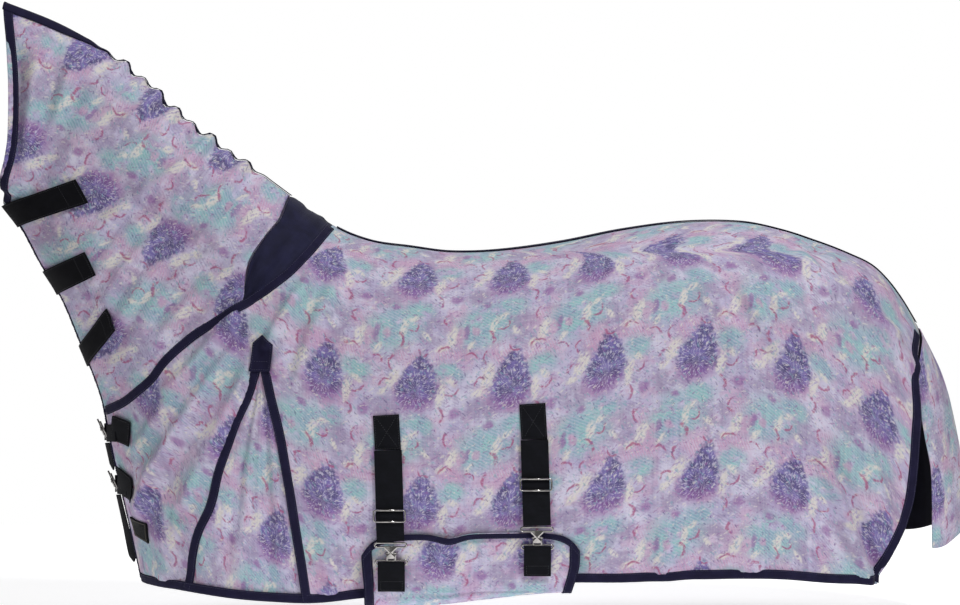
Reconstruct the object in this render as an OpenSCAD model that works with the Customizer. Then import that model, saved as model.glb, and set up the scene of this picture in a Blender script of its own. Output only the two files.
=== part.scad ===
// Horse fly sheet with a fixed neck, shoulder gussets, two surcingle straps,
// a belly bib and a tail flap, in the shape it takes on the horse.
// Millimetres. The origin is on the spine over the withers, under the cloth.
// +X points to the tail, +Z up, and the near (left) side of the horse is at -Y.

/* [Body] */
// Half width of the neck part at the poll
poll_half_w = 72; // [68:1:78]
// Half width of the barrel
barrel_half_w = 268; // [262:1:272]
// Share of the half width that the rump loses towards the tail
rump_taper = 0.33; // [0.28:0.01:0.36]
// Share of the half width that the hem pulls in above the belly bib
belly_tuck = 0.15; // [0.12:0.01:0.18]
// Thickness of the mesh cloth
cloth_t = 2; // [1.5:0.5:2]

/* [Binding and webbing] */
// Width of the edge binding
binding_w = 18; // [14:1:20]
// Thickness of the edge binding
binding_t = 1.5; // [1:0.5:1.5]
// Width of the surcingle webbing
webbing_w = 50; // [44:1:50]
// Thickness of the webbing
webbing_t = 2; // [1.5:0.5:2]

/* [Surcingle straps] */
// Place of the front strap along the body
front_strap_x = 118; // [112:1:124]
// Place of the rear strap along the body
rear_strap_x = 398; // [392:1:402]
// Radius of the bright wire of every buckle
wire_r = 2.2; // [1.8:0.1:2.4]

/* [Belly bib] */
// Front edge of the bib
bib_front_x = 68; // [66:1:72]
// Length of the bib along the body
bib_len = 416; // [410:1:418]

/* [Tail flap] */
// Length of the tail flap below the dock
flap_len = 388; // [360:4:420]
// Half width of the tail flap at its bottom
flap_half_w = 181; // [170:1:184]

/* [Hidden] */
$fn = 32;

print_colour = [0.73, 0.68, 0.80];
navy = [0.11, 0.11, 0.22];
black = [0.05, 0.05, 0.08];
chrome = [0.80, 0.80, 0.82];

// Crest and spine seen from the side, [x, z]
topline_pts = [
    [-655, 446], [-545, 402], [-450, 348], [-370, 288], [-295, 217], [-140, 102],
    [0, 3], [75, -28], [155, -40], [235, -50], [335, -47], [455, -31], [575, -7],
    [695, 9], [815, 9], [895, -7], [975, -33], [1035, -57], [1075, -77],
    [1105, -105], [1135, -145], [1165, -195]
];
// Throat and chest edge, [z, x]
front_pts = [
    [-705, -382], [-590, -407], [-460, -438], [-370, -457], [-290, -482],
    [-215, -512], [-135, -550], [-80, -582], [-10, -619], [43, -659]
];
// Hem, [x, z]
hem_pts = [
    [-382, -705], [-290, -704], [-110, -720], [-30, -724], [70, -715], [240, -704],
    [410, -688], [560, -683], [790, -674], [870, -676], [970, -687], [1063, -692]
];
// Edges that are not functions of one axis, as side-view points [x, z]
head_edge = [[-655, 446], [-638, 330], [-634, 250], [-636, 165], [-648, 85], [-659, 43]];
stretch_edge = [[-80, 57], [-94, 11], [-119, -22], [-143, -57], [-157, -98], [-165, -154]];
upper_seam = [[0, 3], [-20, -25], [-41, -52], [-76, -88], [-114, -119]];
middle_seam = [[-114, -119], [-140, -137], [-165, -154]];
lower_seam = [[-165, -154], [-239, -195], [-282, -226], [-318, -261], [-349, -301],
    [-399, -340], [-457, -369]];
slit_top = [[-114, -119], [-121, -180], [-128, -240]];
left_leg = [[-128, -240], [-150, -315], [-180, -384], [-210, -472], [-224, -540],
    [-250, -600], [-273, -705]];
right_leg = [[-128, -240], [-110, -320], [-90, -400], [-76, -480], [-63, -560],
    [-50, -640], [-38, -723]];
rear_edge = [[1165, -195], [1150, -290], [1150, -375], [1146, -460], [1137, -535],
    [1115, -595], [1085, -648], [1063, -692]];

centre_gap = 0.25;   // each side's cloth stops this far from the centre plane
lift = 1;            // clearance under what is sewn on
rows = 16;           // rows of the body panel
tip_row = 6;         // row at which the gusset slit opens
shoulder_cols = 8;   // columns in front of the slit
seam_cols = 3;       // columns between the slit and the withers
back_cols = 22;      // columns from the withers to the tail
withers_hem_x = 60;  // hem point below the withers
neck_rows = 14;
neck_cols = 13;

function smooth(t) = let (c = min(max(t, 0), 1)) c * c * (3 - 2 * c);
function mix(a, b, t) = a + (b - a) * t;
function unit(v) = v / norm(v);

// Slope of a point list [a, b] at point i, and the smooth curve b(a) through it
function slope(p, i) = let (lo = p[max(i - 1, 0)], hi = p[min(i + 1, len(p) - 1)])
    (hi[1] - lo[1]) / (hi[0] - lo[0]);
function curve(p, a) = let (n = len(p) - 1)
    a <= p[0][0] ? p[0][1] + slope(p, 0) * (a - p[0][0])
    : a >= p[n][0] ? p[n][1] + slope(p, n) * (a - p[n][0])
    : let (
        i = [for (k = [0 : n - 1]) if (a >= p[k][0] && a < p[k + 1][0]) k][0],
        h = p[i + 1][0] - p[i][0],
        t = (a - p[i][0]) / h
    ) (2 * t ^ 3 - 3 * t ^ 2 + 1) * p[i][1] + (t ^ 3 - 2 * t ^ 2 + t) * h * slope(p, i)
        + (3 * t ^ 2 - 2 * t ^ 3) * p[i + 1][1] + (t ^ 3 - t ^ 2) * h * slope(p, i + 1);

// Point at the share s of a free point list, by a Catmull-Rom spline
function spline(p, s) = let (
        n = len(p) - 1,
        f = min(max(s, 0), 1) * n,
        i = min(floor(f), n - 1),
        t = f - i,
        a = p[max(i - 1, 0)], b = p[i], c = p[i + 1], d = p[min(i + 2, n)]
    ) 0.5 * (2 * b + (c - a) * t + (2 * a - 5 * b + 4 * c - d) * t ^ 2
        + (3 * b - a - 3 * c + d) * t ^ 3);

function topline(x) = curve(topline_pts, x);
function hem(x) = curve(hem_pts, x);
function front_edge(z) = curve(front_pts, z);

// Half width of the rug at a side-view point, before its rounded edges
function full_w(x, z) =
    (poll_half_w + (barrel_half_w - poll_half_w) * smooth((0.8 * x - 0.6 * z + 650) / 1050))
    * (1 - rump_taper * smooth((x - 800) / 400));
// Half width with the rounded back, the rounded chest and the tuck over the bib
function side_y(x, z) = let (
        back_r = 190 + 50 * smooth((x + 400) / 400),
        chest_r = 120 + 110 * smooth((-z - 45) / 300),
        t = min(max((topline(x) - z) / back_r, 0), 1),
        g = min(max((x - front_edge(z)) / chest_r, 0), 1),
        tuck = 1 - belly_tuck * smooth((-z - 515) / 230) * exp(-((x - 279) / 330) ^ 4)
    ) full_w(x, z) * sqrt(1 - (1 - t) ^ 2) * sqrt(1 - (1 - g) ^ 2) * tuck;

// Outward normal of the near side at a side-view point
function skin_normal(q) = unit(-[
    (side_y(q[0] + 1, q[1]) - side_y(q[0] - 1, q[1])) / 2, 1,
    (side_y(q[0], q[1] + 1) - side_y(q[0], q[1] - 1)) / 2]);
// Point of the near side, d outside the skin
function skin(q, d = 0) = let (p = [q[0], -side_y(q[0], q[1]), q[1]] + d * skin_normal(q))
    [p[0], min(p[1], -centre_gap), p[2]];

// Coons patch between a top, bottom, left and right point at u, v
function coons(t, b, l, r, c00, c10, c01, c11, u, v) =
    mix(l, r, u) + mix(t, b, v) - mix(mix(c00, c10, u), mix(c01, c11, u), v);

// Closed solid between two grids of points, the outer one first
function two_tris(a, b, c, d) = [[a, b, c], [a, c, d]];
module grid_shell(outer, inner) {
    n = len(outer[0]);
    m = len(outer);
    all = n * m;
    faces = [
        for (r = [0 : m - 2], c = [0 : n - 2]) let (a = r * n + c) each concat(
            two_tris(a, a + 1, a + n + 1, a + n),
            two_tris(all + a, all + a + n, all + a + n + 1, all + a + 1)),
        for (c = [0 : n - 2]) let (e = (m - 1) * n + c) each concat(
            two_tris(c + 1, c, all + c, all + c + 1),
            two_tris(e, e + 1, all + e + 1, all + e)),
        for (r = [0 : m - 2]) let (a = r * n, e = r * n + n - 1) each concat(
            two_tris(a, a + n, all + a + n, all + a),
            two_tris(e + n, e, all + e, all + e + n))
    ];
    polyhedron([for (r = outer) each r, for (r = inner) each r], faces);
}

// Sheet on the near side over a grid of side-view points
module skin_sheet(grid, low, high) {
    grid_shell([for (r = grid) [for (q = r) skin(q, high)]],
        [for (r = grid) [for (q = r) skin(q, low)]]);
}

// Four-cornered patch sewn on the near side; peak lifts the middle of its first edge
module skin_patch(a, b, c, d, low, high, nu = 4, nv = 4, peak = [0, 0], us = undef) {
    skin_sheet([for (j = [0 : nv])
        [for (u = is_undef(us) ? [for (i = [0 : nu]) i / nu] : us) let (v = j / nv)
            mix(mix(a, b, u), mix(d, c, u), v) + peak * (1 - abs(2 * u - 1)) * (1 - v)]],
        low, high);
}

// Shares from 0 to 1: even, or closer together at the start or at both ends
function even(n) = [for (i = [0 : n]) i / n];
function eased(n) = [for (i = [0 : n]) 1 - cos(90 * i / n)];
function eased_both(n) = [for (i = [0 : n]) (1 - cos(180 * i / n)) / 2];

// Flat strip of width w along 3-D points with outward normals
module strip(points, normals, w, low, high) {
    n = len(points) - 1;
    side = [for (i = [0 : n]) unit(cross(normals[i],
        points[min(i + 1, n)] - points[max(i - 1, 0)])) * w / 2];
    grid_shell(
        [for (k = [1, -1]) [for (i = [0 : n]) points[i] + k * side[i] + normals[i] * high]],
        [for (k = [1, -1]) [for (i = [0 : n]) points[i] + k * side[i] + normals[i] * low]]);
}

// Binding along side-view points on the near side
module skin_binding(path, low = lift) {
    strip([for (q = path) skin(q)], [for (q = path) skin_normal(q)],
        binding_w, low, low + binding_t);
}

// Binding along the centre line between two stations
module centre_binding(x0, x1, steps) {
    xs = [for (i = [0 : steps]) mix(x0, x1, i / steps)];
    strip([for (x = xs) [x, 0, topline(x)]],
        [for (x = xs) unit([topline(x - 2) - topline(x + 2), 0, 4])],
        binding_w, lift, lift + binding_t);
}

// ---- body panel: one cloth with a slit that the gusset fills ----

function row_v(r) = 1 - cos(90 * r / rows);
function leg_share(r) = (row_v(r) - row_v(tip_row)) / (1 - row_v(tip_row));
function slit(leg, r) = r <= tip_row ? spline(slit_top, r / tip_row) : spline(leg, leg_share(r));

// Seam from the slit to the chest, and from the slit up to the withers
shoulder_seam = concat(middle_seam, [for (i = [1 : len(lower_seam) - 1]) lower_seam[i]]);

function shoulder_grid() = [for (r = [0 : rows]) [for (i = [0 : shoulder_cols])
    let (
        u = 1 - cos(90 * i / shoulder_cols),
        v = row_v(r),
        x = mix(hem_pts[0][0], left_leg[6][0], u),
        z = mix(front_pts[3][0], hem_pts[0][1], v)
    ) coons(spline(shoulder_seam, 1 - u), [x, hem(x)], [front_edge(z), z],
        slit(left_leg, r), spline(shoulder_seam, 1), slit_top[0],
        hem_pts[0], slit(left_leg, rows), u, v)]];

function main_top(i) = i <= seam_cols ? spline(upper_seam, 1 - i / seam_cols)
    : let (x = mix(0, rear_edge[0][0], (i - seam_cols) / back_cols)) [x, topline(x)];
function main_hem(i) = let (x = i <= seam_cols
    ? mix(right_leg[6][0], withers_hem_x, i / seam_cols)
    : mix(withers_hem_x, rear_edge[7][0], (i - seam_cols) / back_cols)) [x, hem(x)];
function main_grid() = let (n = seam_cols + back_cols) [for (r = [0 : rows])
    [for (i = [0 : n]) coons(main_top(i), main_hem(i), slit(right_leg, r),
        spline(rear_edge, row_v(r)), main_top(0), main_top(n), main_hem(0), main_hem(n),
        i / n, row_v(r))]];

module body_panel() {
    front = shoulder_grid();
    back = main_grid();
    grid = [for (r = [0 : rows]) concat(front[r], back[r])];
    n = len(grid[0]);
    all = n * (rows + 1);
    k = shoulder_cols;
    cols = [for (c = [0 : n - 2]) if (c != k) c];
    // above the slit's tip both of its sides are the same points
    function at(r, c) = (c == k + 1 && r <= tip_row) ? r * n + k : r * n + c;
    faces = [
        for (r = [0 : rows - 1], c = cols) each concat(
            two_tris(at(r, c), at(r, c + 1), at(r + 1, c + 1), at(r + 1, c)),
            two_tris(all + at(r, c), all + at(r + 1, c), all + at(r + 1, c + 1),
                all + at(r, c + 1))),
        for (c = cols) each concat(
            two_tris(at(0, c + 1), at(0, c), all + at(0, c), all + at(0, c + 1)),
            two_tris(at(rows, c), at(rows, c + 1), all + at(rows, c + 1),
                all + at(rows, c))),
        for (e = [[0, 0], [k + 1, tip_row]], r = [e[1] : rows - 1])
            each two_tris(at(r, e[0]), at(r + 1, e[0]), all + at(r + 1, e[0]),
                all + at(r, e[0])),
        for (e = [[n - 1, 0], [k, tip_row]], r = [e[1] : rows - 1])
            each two_tris(at(r + 1, e[0]), at(r, e[0]), all + at(r, e[0]),
                all + at(r + 1, e[0]))
    ];
    polyhedron([for (d = [0, -cloth_t], r = grid, q = r) skin(q, d)], faces);
}

// ---- neck panel ----

neck_end = concat(stretch_edge, [for (i = [1 : len(lower_seam) - 1]) lower_seam[i]]);
function neck_grid() = let (last = len(neck_end) - 1) [for (j = [0 : neck_rows])
    [for (i = [0 : neck_cols])
        let (
            u = 0.988 * i / neck_cols,
            v = (1 - cos(180 * j / neck_rows)) / 2,
            x = mix(head_edge[0][0], neck_end[0][0], u),
            z = mix(head_edge[5][1], front_pts[3][0], u)
        ) coons([x, topline(x)], [front_edge(z), z], spline(head_edge, v),
            spline(neck_end, v), head_edge[0], [neck_end[0][0], topline(neck_end[0][0])],
            [front_edge(head_edge[5][1]), head_edge[5][1]], neck_end[last], u, v)]];

// ---- stretch panel over the withers, one piece across the spine ----

stretch_seam = concat(upper_seam, [middle_seam[1], middle_seam[2]]);
module stretch_panel() {
    steps = 10;
    cols = 4;
    vs = [for (j = [-steps : steps]) sin(90 * abs(j) / steps) ^ 2 * sign(j)];
    function point(v, u, d) = let (
            e = abs(v) * 0.95,
            q = mix(spline(stretch_edge, e), spline(stretch_seam, e), mix(0.07, 0.93, u)),
            z = min(q[1], topline(q[0])),
            p = v == 0 ? [q[0], 0, topline(q[0]) + d] : skin([q[0], z], d)
        ) [p[0], p[1] * (v > 0 ? 1 : -1), p[2]];
    grid_shell([for (v = vs) [for (i = [0 : cols]) point(-v, 1 - i / cols, 0)]],
        [for (v = vs) [for (i = [0 : cols]) point(-v, 1 - i / cols, -cloth_t)]]);
}

// ---- shoulder gusset and its trim ----

module gusset() {
    cols = 4;
    skin_sheet([for (r = [tip_row + 1 : rows]) [for (i = [0 : cols])
        mix(slit(left_leg, r), slit(right_leg, r), mix(0.01, 0.99, i / cols))]], -cloth_t, 0);
}
module gusset_binding() {
    for (leg = [left_leg, right_leg])
        skin_binding([for (i = [0 : 18]) spline(leg, mix(0.07, 0.95, i / 18))]);
}
module gusset_tip() {
    skin_patch([-143, -225], [-102, -229], [-109, -280], [-150, -280],
        tab_low, tab_low + binding_t, 4, 3, [-1, 17]);
}

// ---- bindings of one side ----

module hem_binding() {
    chest = [for (u = eased(14)) mix(-379, -230, u)];
    side = [for (i = [1 : 40]) mix(-230, 1058, i / 40)];
    skin_binding([for (x = concat(chest, side)) [x, hem(x) + binding_w / 2]]);
}
module rear_binding() {
    skin_binding([for (u = eased(26))
        spline(rear_edge, mix(0.04, 0.91, 1 - u)) - [binding_w / 2, 0]], 2 * lift);
}
module neck_seam_binding() {
    seam = concat(upper_seam, [middle_seam[1]], lower_seam);
    skin_binding([for (u = eased_both(50)) spline(seam, mix(0.02, 0.985, u))]);
}
module head_binding() {
    skin_binding([for (u = eased_both(26))
        spline(head_edge, mix(0.985, 0.04, u)) + [binding_w / 2, 0]]);
}
module front_binding() {
    skin_binding([for (i = [0 : 24]) let (z = mix(-684, 30, i / 24))
        [front_edge(z) + 1.2, z]]);
}

// ---- surcingle straps on the near side ----

stitch_z = [-427, -407];      // stitch lines where the front and rear straps leave the rug
adjuster_z = [-553, -493];
hook_bar_z = [-608, -578];    // axes on which the hooks turn
catch_bar_z = [-645, -615];   // bars that the bib's webbing loops hold
strap_x = [front_strap_x, rear_strap_x];
strap_y = -274.5;     // outer face of the hanging webbing
catch_out = 9;        // how far a catch's bar stands off the bib
buckle_w = 60;

module rod_x(l, r) { rotate([0, 90, 0]) cylinder(h = l, r = r, center = true); }
module rod_z(l, r) { cylinder(h = l, r = r, center = true); }

// i is 0 for the front strap and 1 for the rear one
module strap_anchor(i, top) {
    w = webbing_w / 2;
    x = strap_x[i];
    skin_patch([x - w - 4, top], [x + w - 4, top + 3], [x + w, stitch_z[i]],
        [x - w, stitch_z[i]], lift, lift + webbing_t, 3, 2);
}
module strap_webbing(i) {
    end_z = hook_bar_z[i] + 5;
    translate([strap_x[i] - webbing_w / 2, strap_y, end_z])
        cube([webbing_w, webbing_t, stitch_z[i] - end_z - 1.5]);
}
// Three-bar slider round the webbing: two bars outside, one behind
module adjuster(i) {
    rail = buckle_w / 2 - wire_r;
    translate([strap_x[i], strap_y - wire_r - 0.3, adjuster_z[i]]) {
        for (z = [-11, 11]) translate([0, 0, z]) rod_x(2 * rail, wire_r);
        for (k = [-1, 1]) translate([k * rail, 0, 0]) {
            rod_z(22, wire_r);
            for (z = [-11, 11]) translate([0, 0, z]) sphere(wire_r);
        }
        translate([0, webbing_t + wire_r + 1.5, 0])
            cube([2 * rail, 1.6, 5], center = true);
        for (k = [-1, 1]) translate([k * rail, (webbing_t + wire_r + 1.5) / 2, 0])
            cube([2 * wire_r, webbing_t + wire_r + 3, 5], center = true);
    }
}
// T-hook: bar in the webbing's loop, neck, and cross bar in front of the eye
module hook(i) {
    translate([strap_x[i], strap_y + webbing_t / 2, hook_bar_z[i]]) {
        rod_x(buckle_w, wire_r);
        for (k = [-1, 1]) translate([k * 8, -1, -6]) rod_z(10, wire_r);
        translate([-11, -3.2, -16]) cube([22, 3, 8]);
        translate([-5, -3.2, -28]) cube([10, 3, 13]);
        translate([0, -1.7, -28]) rod_x(20, wire_r);
    }
}
// Catch: bar in the bib's webbing loop and a plate with an eye
module catch(i) {
    z = catch_bar_z[i];
    translate([strap_x[i], bib_face(z) - catch_out, z]) {
        rod_x(buckle_w, wire_r);
        for (k = [-1, 1]) translate([k * 10, 0, 4]) rod_z(10, wire_r);
        translate([0, 0, 14]) difference() {
            cube([30, 2.4, 18], center = true);
            cube([18, 4, 9], center = true);
        }
    }
}

// ---- belly bib ----

// Cross section from the near top edge to the middle, [y, z]
bib_arc = [[-262, -586], [-260, -640], [-256, -695], [-240, -731], [-190, -748],
    [-100, -757], [0, -760]];
bib_section = concat(bib_arc, [for (i = [5 : -1 : 0]) [-bib_arc[i][0], bib_arc[i][1]]]);
bib_pivot = [264, -590];      // y and z of the line on which the bib hangs when open
bib_t = 3;                    // doubled cloth
bib_turn_z = -700;            // below this height the bib is shallower towards its rear end
bib_shallow = 0.6;            // share of that depth which the rear end loses
bib_cols = 14;
bib_rows = 24;
tab_len = 52;                 // webbing below the catch

// Outer face of the bib's upright part on the near side
function bib_face(z) = mix(bib_arc[1][0], bib_arc[2][0],
    (z - bib_arc[1][1]) / (bib_arc[2][1] - bib_arc[1][1]));
// The near top edge is lower at both corners and dips a little in the middle
function bib_start(u) = 0.055 * (abs(2 * u - 1)) ^ 8 + 0.016 * exp(-((u - 0.4) / 0.07) ^ 2)
    + 0.012 * (1 - u);
function bib_point(u, w, d) = let (
        s = mix(bib_start(u), 0.985, w),
        p = spline(bib_section, s),
        t = spline(bib_section, min(s + 0.01, 1)) - spline(bib_section, max(s - 0.01, 0)),
        n = unit([t[1], -t[0]]),
        keep = 1 - bib_shallow * smooth((u - 0.25) / 0.75),
        z = p[1] < bib_turn_z ? mix(bib_turn_z, p[1], keep) : p[1]
    ) [mix(bib_front_x, bib_front_x + bib_len, u), p[0] + n[0] * d, z + n[1] * d];

module bib_sheet(us, ws, low, high) {
    grid_shell([for (w = ws) [for (u = us) bib_point(u, w, high)]],
        [for (w = ws) [for (u = us) bib_point(u, w, low)]]);
}
module bib_tab(i) {
    low = catch_bar_z[i] - 3 - tab_len;
    translate([strap_x[i] - webbing_w / 2, min(bib_face(low), bib_face(catch_bar_z[i])) - webbing_t - 0.9, low])
        rotate([6.5, 0, 0]) cube([webbing_w, webbing_t, tab_len]);
}

// ---- tail flap ----

flap_top = [1169, -203];     // middle of the flap's sewn edge
// By share of its length: the rear profile of its middle, its side edges' x and half width
flap_middle = [[0, 1170], [0.1, 1190], [0.22, 1212], [0.37, 1230], [0.66, 1250],
    [0.9, 1254], [1, 1250]];
flap_edge = [[0, 1164], [0.15, 1149], [0.3, 1150], [0.45, 1158], [0.62, 1170], [1, 1173]];
flap_half = [[0, 0.53], [0.15, 0.82], [0.3, 0.92], [0.5, 0.98], [1, 1]];
module flap(low, high) {
    ns = 16;
    nv = 12;
    // k runs from -1 (near edge) to 1 (off edge), v from the sewn edge to the bottom
    function point(k, v, d) = let (
            side = sin(90 * k),
            top = flap_top[1] - 26 * side ^ 2,
            bottom = flap_top[1] - flap_len - 34 * side ^ 2,
            half = flap_half_w * curve(flap_half, v) + d
        ) [mix(curve(flap_middle, v), curve(flap_edge, v), 1 - cos(90 * k)) + d * cos(90 * k),
            half * side, mix(top, bottom, v)];
    ks = [for (i = [0 : ns]) 2 * i / ns - 1];
    grid_shell([for (j = [0 : nv]) [for (k = ks) point(k, j / nv, high)]],
        [for (j = [0 : nv]) [for (k = ks) point(k, j / nv, low)]]);
}

// ---- neck tabs: sewn on the off side, lapped round the throat ----

// Free end of each tab on the near side, upper and lower corner, then its two heights
// at the throat
tab_ends = [
    [[-500, 92], [-474, 46], 42, 0],
    [[-479, -51], [-455, -96], -89, -136],
    [[-434, -160], [-416, -202], -237, -278]
];
tab_t = 2.5;
tab_low = binding_t + 2.4 * lift;   // what lies over a binding clears it
function throat(z) = [front_edge(z) + 1, z];
module neck_tab(i) {
    e = tab_ends[i];
    skin_patch(throat(e[2]), e[0], e[1], throat(e[3]), tab_low, tab_low + tab_t,
        nv = 2, us = eased(14));
}
module neck_tab_base(i) {
    e = tab_ends[i];
    off_side() skin_patch(throat(e[2]), mix(throat(e[2]), e[0], 0.5),
        mix(throat(e[3]), e[1], 0.5), throat(e[3]), tab_low, tab_low + tab_t,
        nv = 2, us = eased(10));
}

// ---- chest closures, upper and lower ----

chest_z = [-408, -512];           // height of each clip
chest_patch = [
    [[-430, -373], [-392, -384], [-394, -432], [-434, -421]],
    [[-423, -474], [-390, -494], [-380, -540], [-411, -532]]
];
clip_x = [-460, -439];            // clip plate, just in front of the chest edge
tail_x = [-459, -433];            // top of each strap's spare end
tail_turn = 30;                   // turned with the rounding of the near side
tail_lean = 13;                   // it lies along the sloping chest
module chest_tab(i) {
    c = chest_patch[i];
    skin_patch(c[0], c[1], c[2], c[3], tab_low, tab_low + webbing_t, 4, 3);
}
module chest_catch(i) {
    translate([clip_x[i], -16, chest_z[i]]) {
        rod_z(48, wire_r);
        translate([0, 9, 0]) difference() {
            cube([2.4, 16, 34], center = true);
            cube([4, 7, 20], center = true);
        }
        for (k = [-1, 1]) translate([0, 3, 12 * k]) cube([3, 6, 4], center = true);
    }
}
module chest_hook(i) {
    translate([clip_x[i] - 4.5, 20, chest_z[i]]) {
        rod_z(48, wire_r);
        for (k = [-1, 1]) translate([0, -3, 12 * k]) cube([3, 6, 4], center = true);
        translate([0, -8, 0]) cube([3, 8, 32], center = true);
        translate([0, -16, 0]) cube([3, 10, 10], center = true);
        translate([0, -20, 0]) rod_z(20, wire_r);
    }
}
// Webbing from its seam on the off side forward to the clip
module chest_strap(i) {
    c = chest_patch[i];
    off_side() skin_patch(c[0], c[1] + [20, 0], c[2] + [20, 0], c[3],
        tab_low, tab_low + webbing_t, 5, 3);
}
// Spare end of the chest strap, hanging below the hook's bar
module chest_tail(i) {
    length = i == 0 ? 56 : 138;
    translate([tail_x[i], 0, chest_z[i] - 28]) rotate([0, -tail_lean, 0])
        rotate([0, 0, tail_turn]) translate([0, -15, -length])
            cube([webbing_t, 30, length]);
}

module cloth() { color(print_colour) children(); }
module navy_tape() { color(navy) children(); }
module black_webbing() { color(black) children(); }
module bright() { color(chrome) children(); }
module off_side() { mirror([0, 1, 0]) children(); }

module near_body_panel() { cloth() body_panel(); }
module off_body_panel() { cloth() off_side() body_panel(); }
module near_neck_panel() { cloth() skin_sheet(neck_grid(), -cloth_t, 0); }
module off_neck_panel() { cloth() off_side() skin_sheet(neck_grid(), -cloth_t, 0); }
module withers_stretch_panel() { navy_tape() stretch_panel(); }
module near_shoulder_gusset() { cloth() gusset(); }
module off_shoulder_gusset() { cloth() off_side() gusset(); }
module near_gusset_binding() { navy_tape() gusset_binding(); }
module off_gusset_binding() { navy_tape() off_side() gusset_binding(); }
module near_gusset_tip() { navy_tape() gusset_tip(); }
module off_gusset_tip() { navy_tape() off_side() gusset_tip(); }
module near_hem_binding() { navy_tape() hem_binding(); }
module off_hem_binding() { navy_tape() off_side() hem_binding(); }
module near_rear_binding() { navy_tape() rear_binding(); }
module off_rear_binding() { navy_tape() off_side() rear_binding(); }
module near_neck_seam_binding() { navy_tape() neck_seam_binding(); }
module off_neck_seam_binding() { navy_tape() off_side() neck_seam_binding(); }
module spine_binding() { navy_tape() centre_binding(12, 1160, 48); }
module crest_binding() { navy_tape() centre_binding(-652, -84, 24); }
module near_head_binding() { navy_tape() head_binding(); }
module off_head_binding() { navy_tape() off_side() head_binding(); }
module near_front_binding() { navy_tape() front_binding(); }
module off_front_binding() { navy_tape() off_side() front_binding(); }
module woven_label() {
    black_webbing() skin_patch([-392, -576], [-358, -581], [-356, -622], [-390, -626],
        tab_low, tab_low + 1, 3, 3);
}
module front_strap_anchor() { black_webbing() strap_anchor(0, -362); }
module rear_strap_anchor() { black_webbing() strap_anchor(1, -340); }
module front_strap_webbing() { black_webbing() strap_webbing(0); }
module rear_strap_webbing() { black_webbing() strap_webbing(1); }
module front_strap_adjuster() { bright() adjuster(0); }
module rear_strap_adjuster() { bright() adjuster(1); }
module front_strap_hook() { bright() hook(0); }
module rear_strap_hook() { bright() hook(1); }
module front_bib_tab() { black_webbing() bib_tab(0); }
module rear_bib_tab() { black_webbing() bib_tab(1); }
module front_bib_catch() { bright() catch(0); }
module rear_bib_catch() { bright() catch(1); }
module belly_bib() {
    cloth() bib_sheet(even(bib_cols), even(bib_rows), -bib_t, 0);
}
module bib_binding() {
    edge = binding_w / bib_len;
    navy_tape() {
        bib_sheet([0, edge], even(bib_rows), lift, lift + binding_t);
        bib_sheet([1 - edge, 1], even(bib_rows), lift, lift + binding_t);
        bib_sheet([for (u = even(bib_cols)) mix(edge + 0.001, 0.999 - edge, u)], [0, 0.016],
            lift, lift + binding_t);
    }
}
module bib_off_seam() {
    navy_tape() off_side() skin_patch([bib_front_x, -566], [bib_front_x + bib_len, -566],
        [bib_front_x + bib_len, -586], [bib_front_x, -586], lift, lift + binding_t, 10, 1);
}
module tail_flap() { cloth() flap(0, cloth_t); }
module tail_flap_lining() { black_webbing() flap(-lift - 1, -lift); }
module upper_neck_tab() { black_webbing() neck_tab(0); }
module middle_neck_tab() { black_webbing() neck_tab(1); }
module lower_neck_tab() { black_webbing() neck_tab(2); }
module neck_tab_bases() { black_webbing() for (i = [0 : 2]) neck_tab_base(i); }
module upper_chest_tab() { black_webbing() chest_tab(0); }
module lower_chest_tab() { black_webbing() chest_tab(1); }
module upper_chest_catch() { bright() chest_catch(0); }
module lower_chest_catch() { bright() chest_catch(1); }
module upper_chest_hook() { bright() chest_hook(0); }
module lower_chest_hook() { bright() chest_hook(1); }
module upper_chest_strap() { black_webbing() chest_strap(0); }
module lower_chest_strap() { black_webbing() chest_strap(1); }
module upper_chest_tail() { black_webbing() chest_tail(0); }
module lower_chest_tail() { black_webbing() chest_tail(1); }

near_body_panel();
off_body_panel();
near_neck_panel();
off_neck_panel();
withers_stretch_panel();
near_shoulder_gusset();
off_shoulder_gusset();
near_gusset_binding();
off_gusset_binding();
near_gusset_tip();
off_gusset_tip();
near_hem_binding();
off_hem_binding();
near_rear_binding();
off_rear_binding();
near_neck_seam_binding();
off_neck_seam_binding();
spine_binding();
crest_binding();
near_head_binding();
off_head_binding();
near_front_binding();
off_front_binding();
woven_label();
front_strap_anchor();
rear_strap_anchor();
front_strap_webbing();
rear_strap_webbing();
front_strap_adjuster();
rear_strap_adjuster();
front_strap_hook();
rear_strap_hook();
front_bib_tab();
rear_bib_tab();
front_bib_catch();
rear_bib_catch();
belly_bib();
bib_binding();
bib_off_seam();
tail_flap();
tail_flap_lining();
upper_neck_tab();
middle_neck_tab();
lower_neck_tab();
neck_tab_bases();
upper_chest_tab();
lower_chest_tab();
upper_chest_catch();
lower_chest_catch();
upper_chest_hook();
lower_chest_hook();
upper_chest_strap();
lower_chest_strap();
upper_chest_tail();
lower_chest_tail();
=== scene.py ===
"""Horse fly sheet: the visual model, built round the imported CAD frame.

The shape functions work in millimetres, as the CAD does, and repeat its point lists.
Every mesh is scaled to metres when it is made. +X is tailward, -Y the near side, +Z up.
"""
from math import radians, pi, cos, sin

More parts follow.
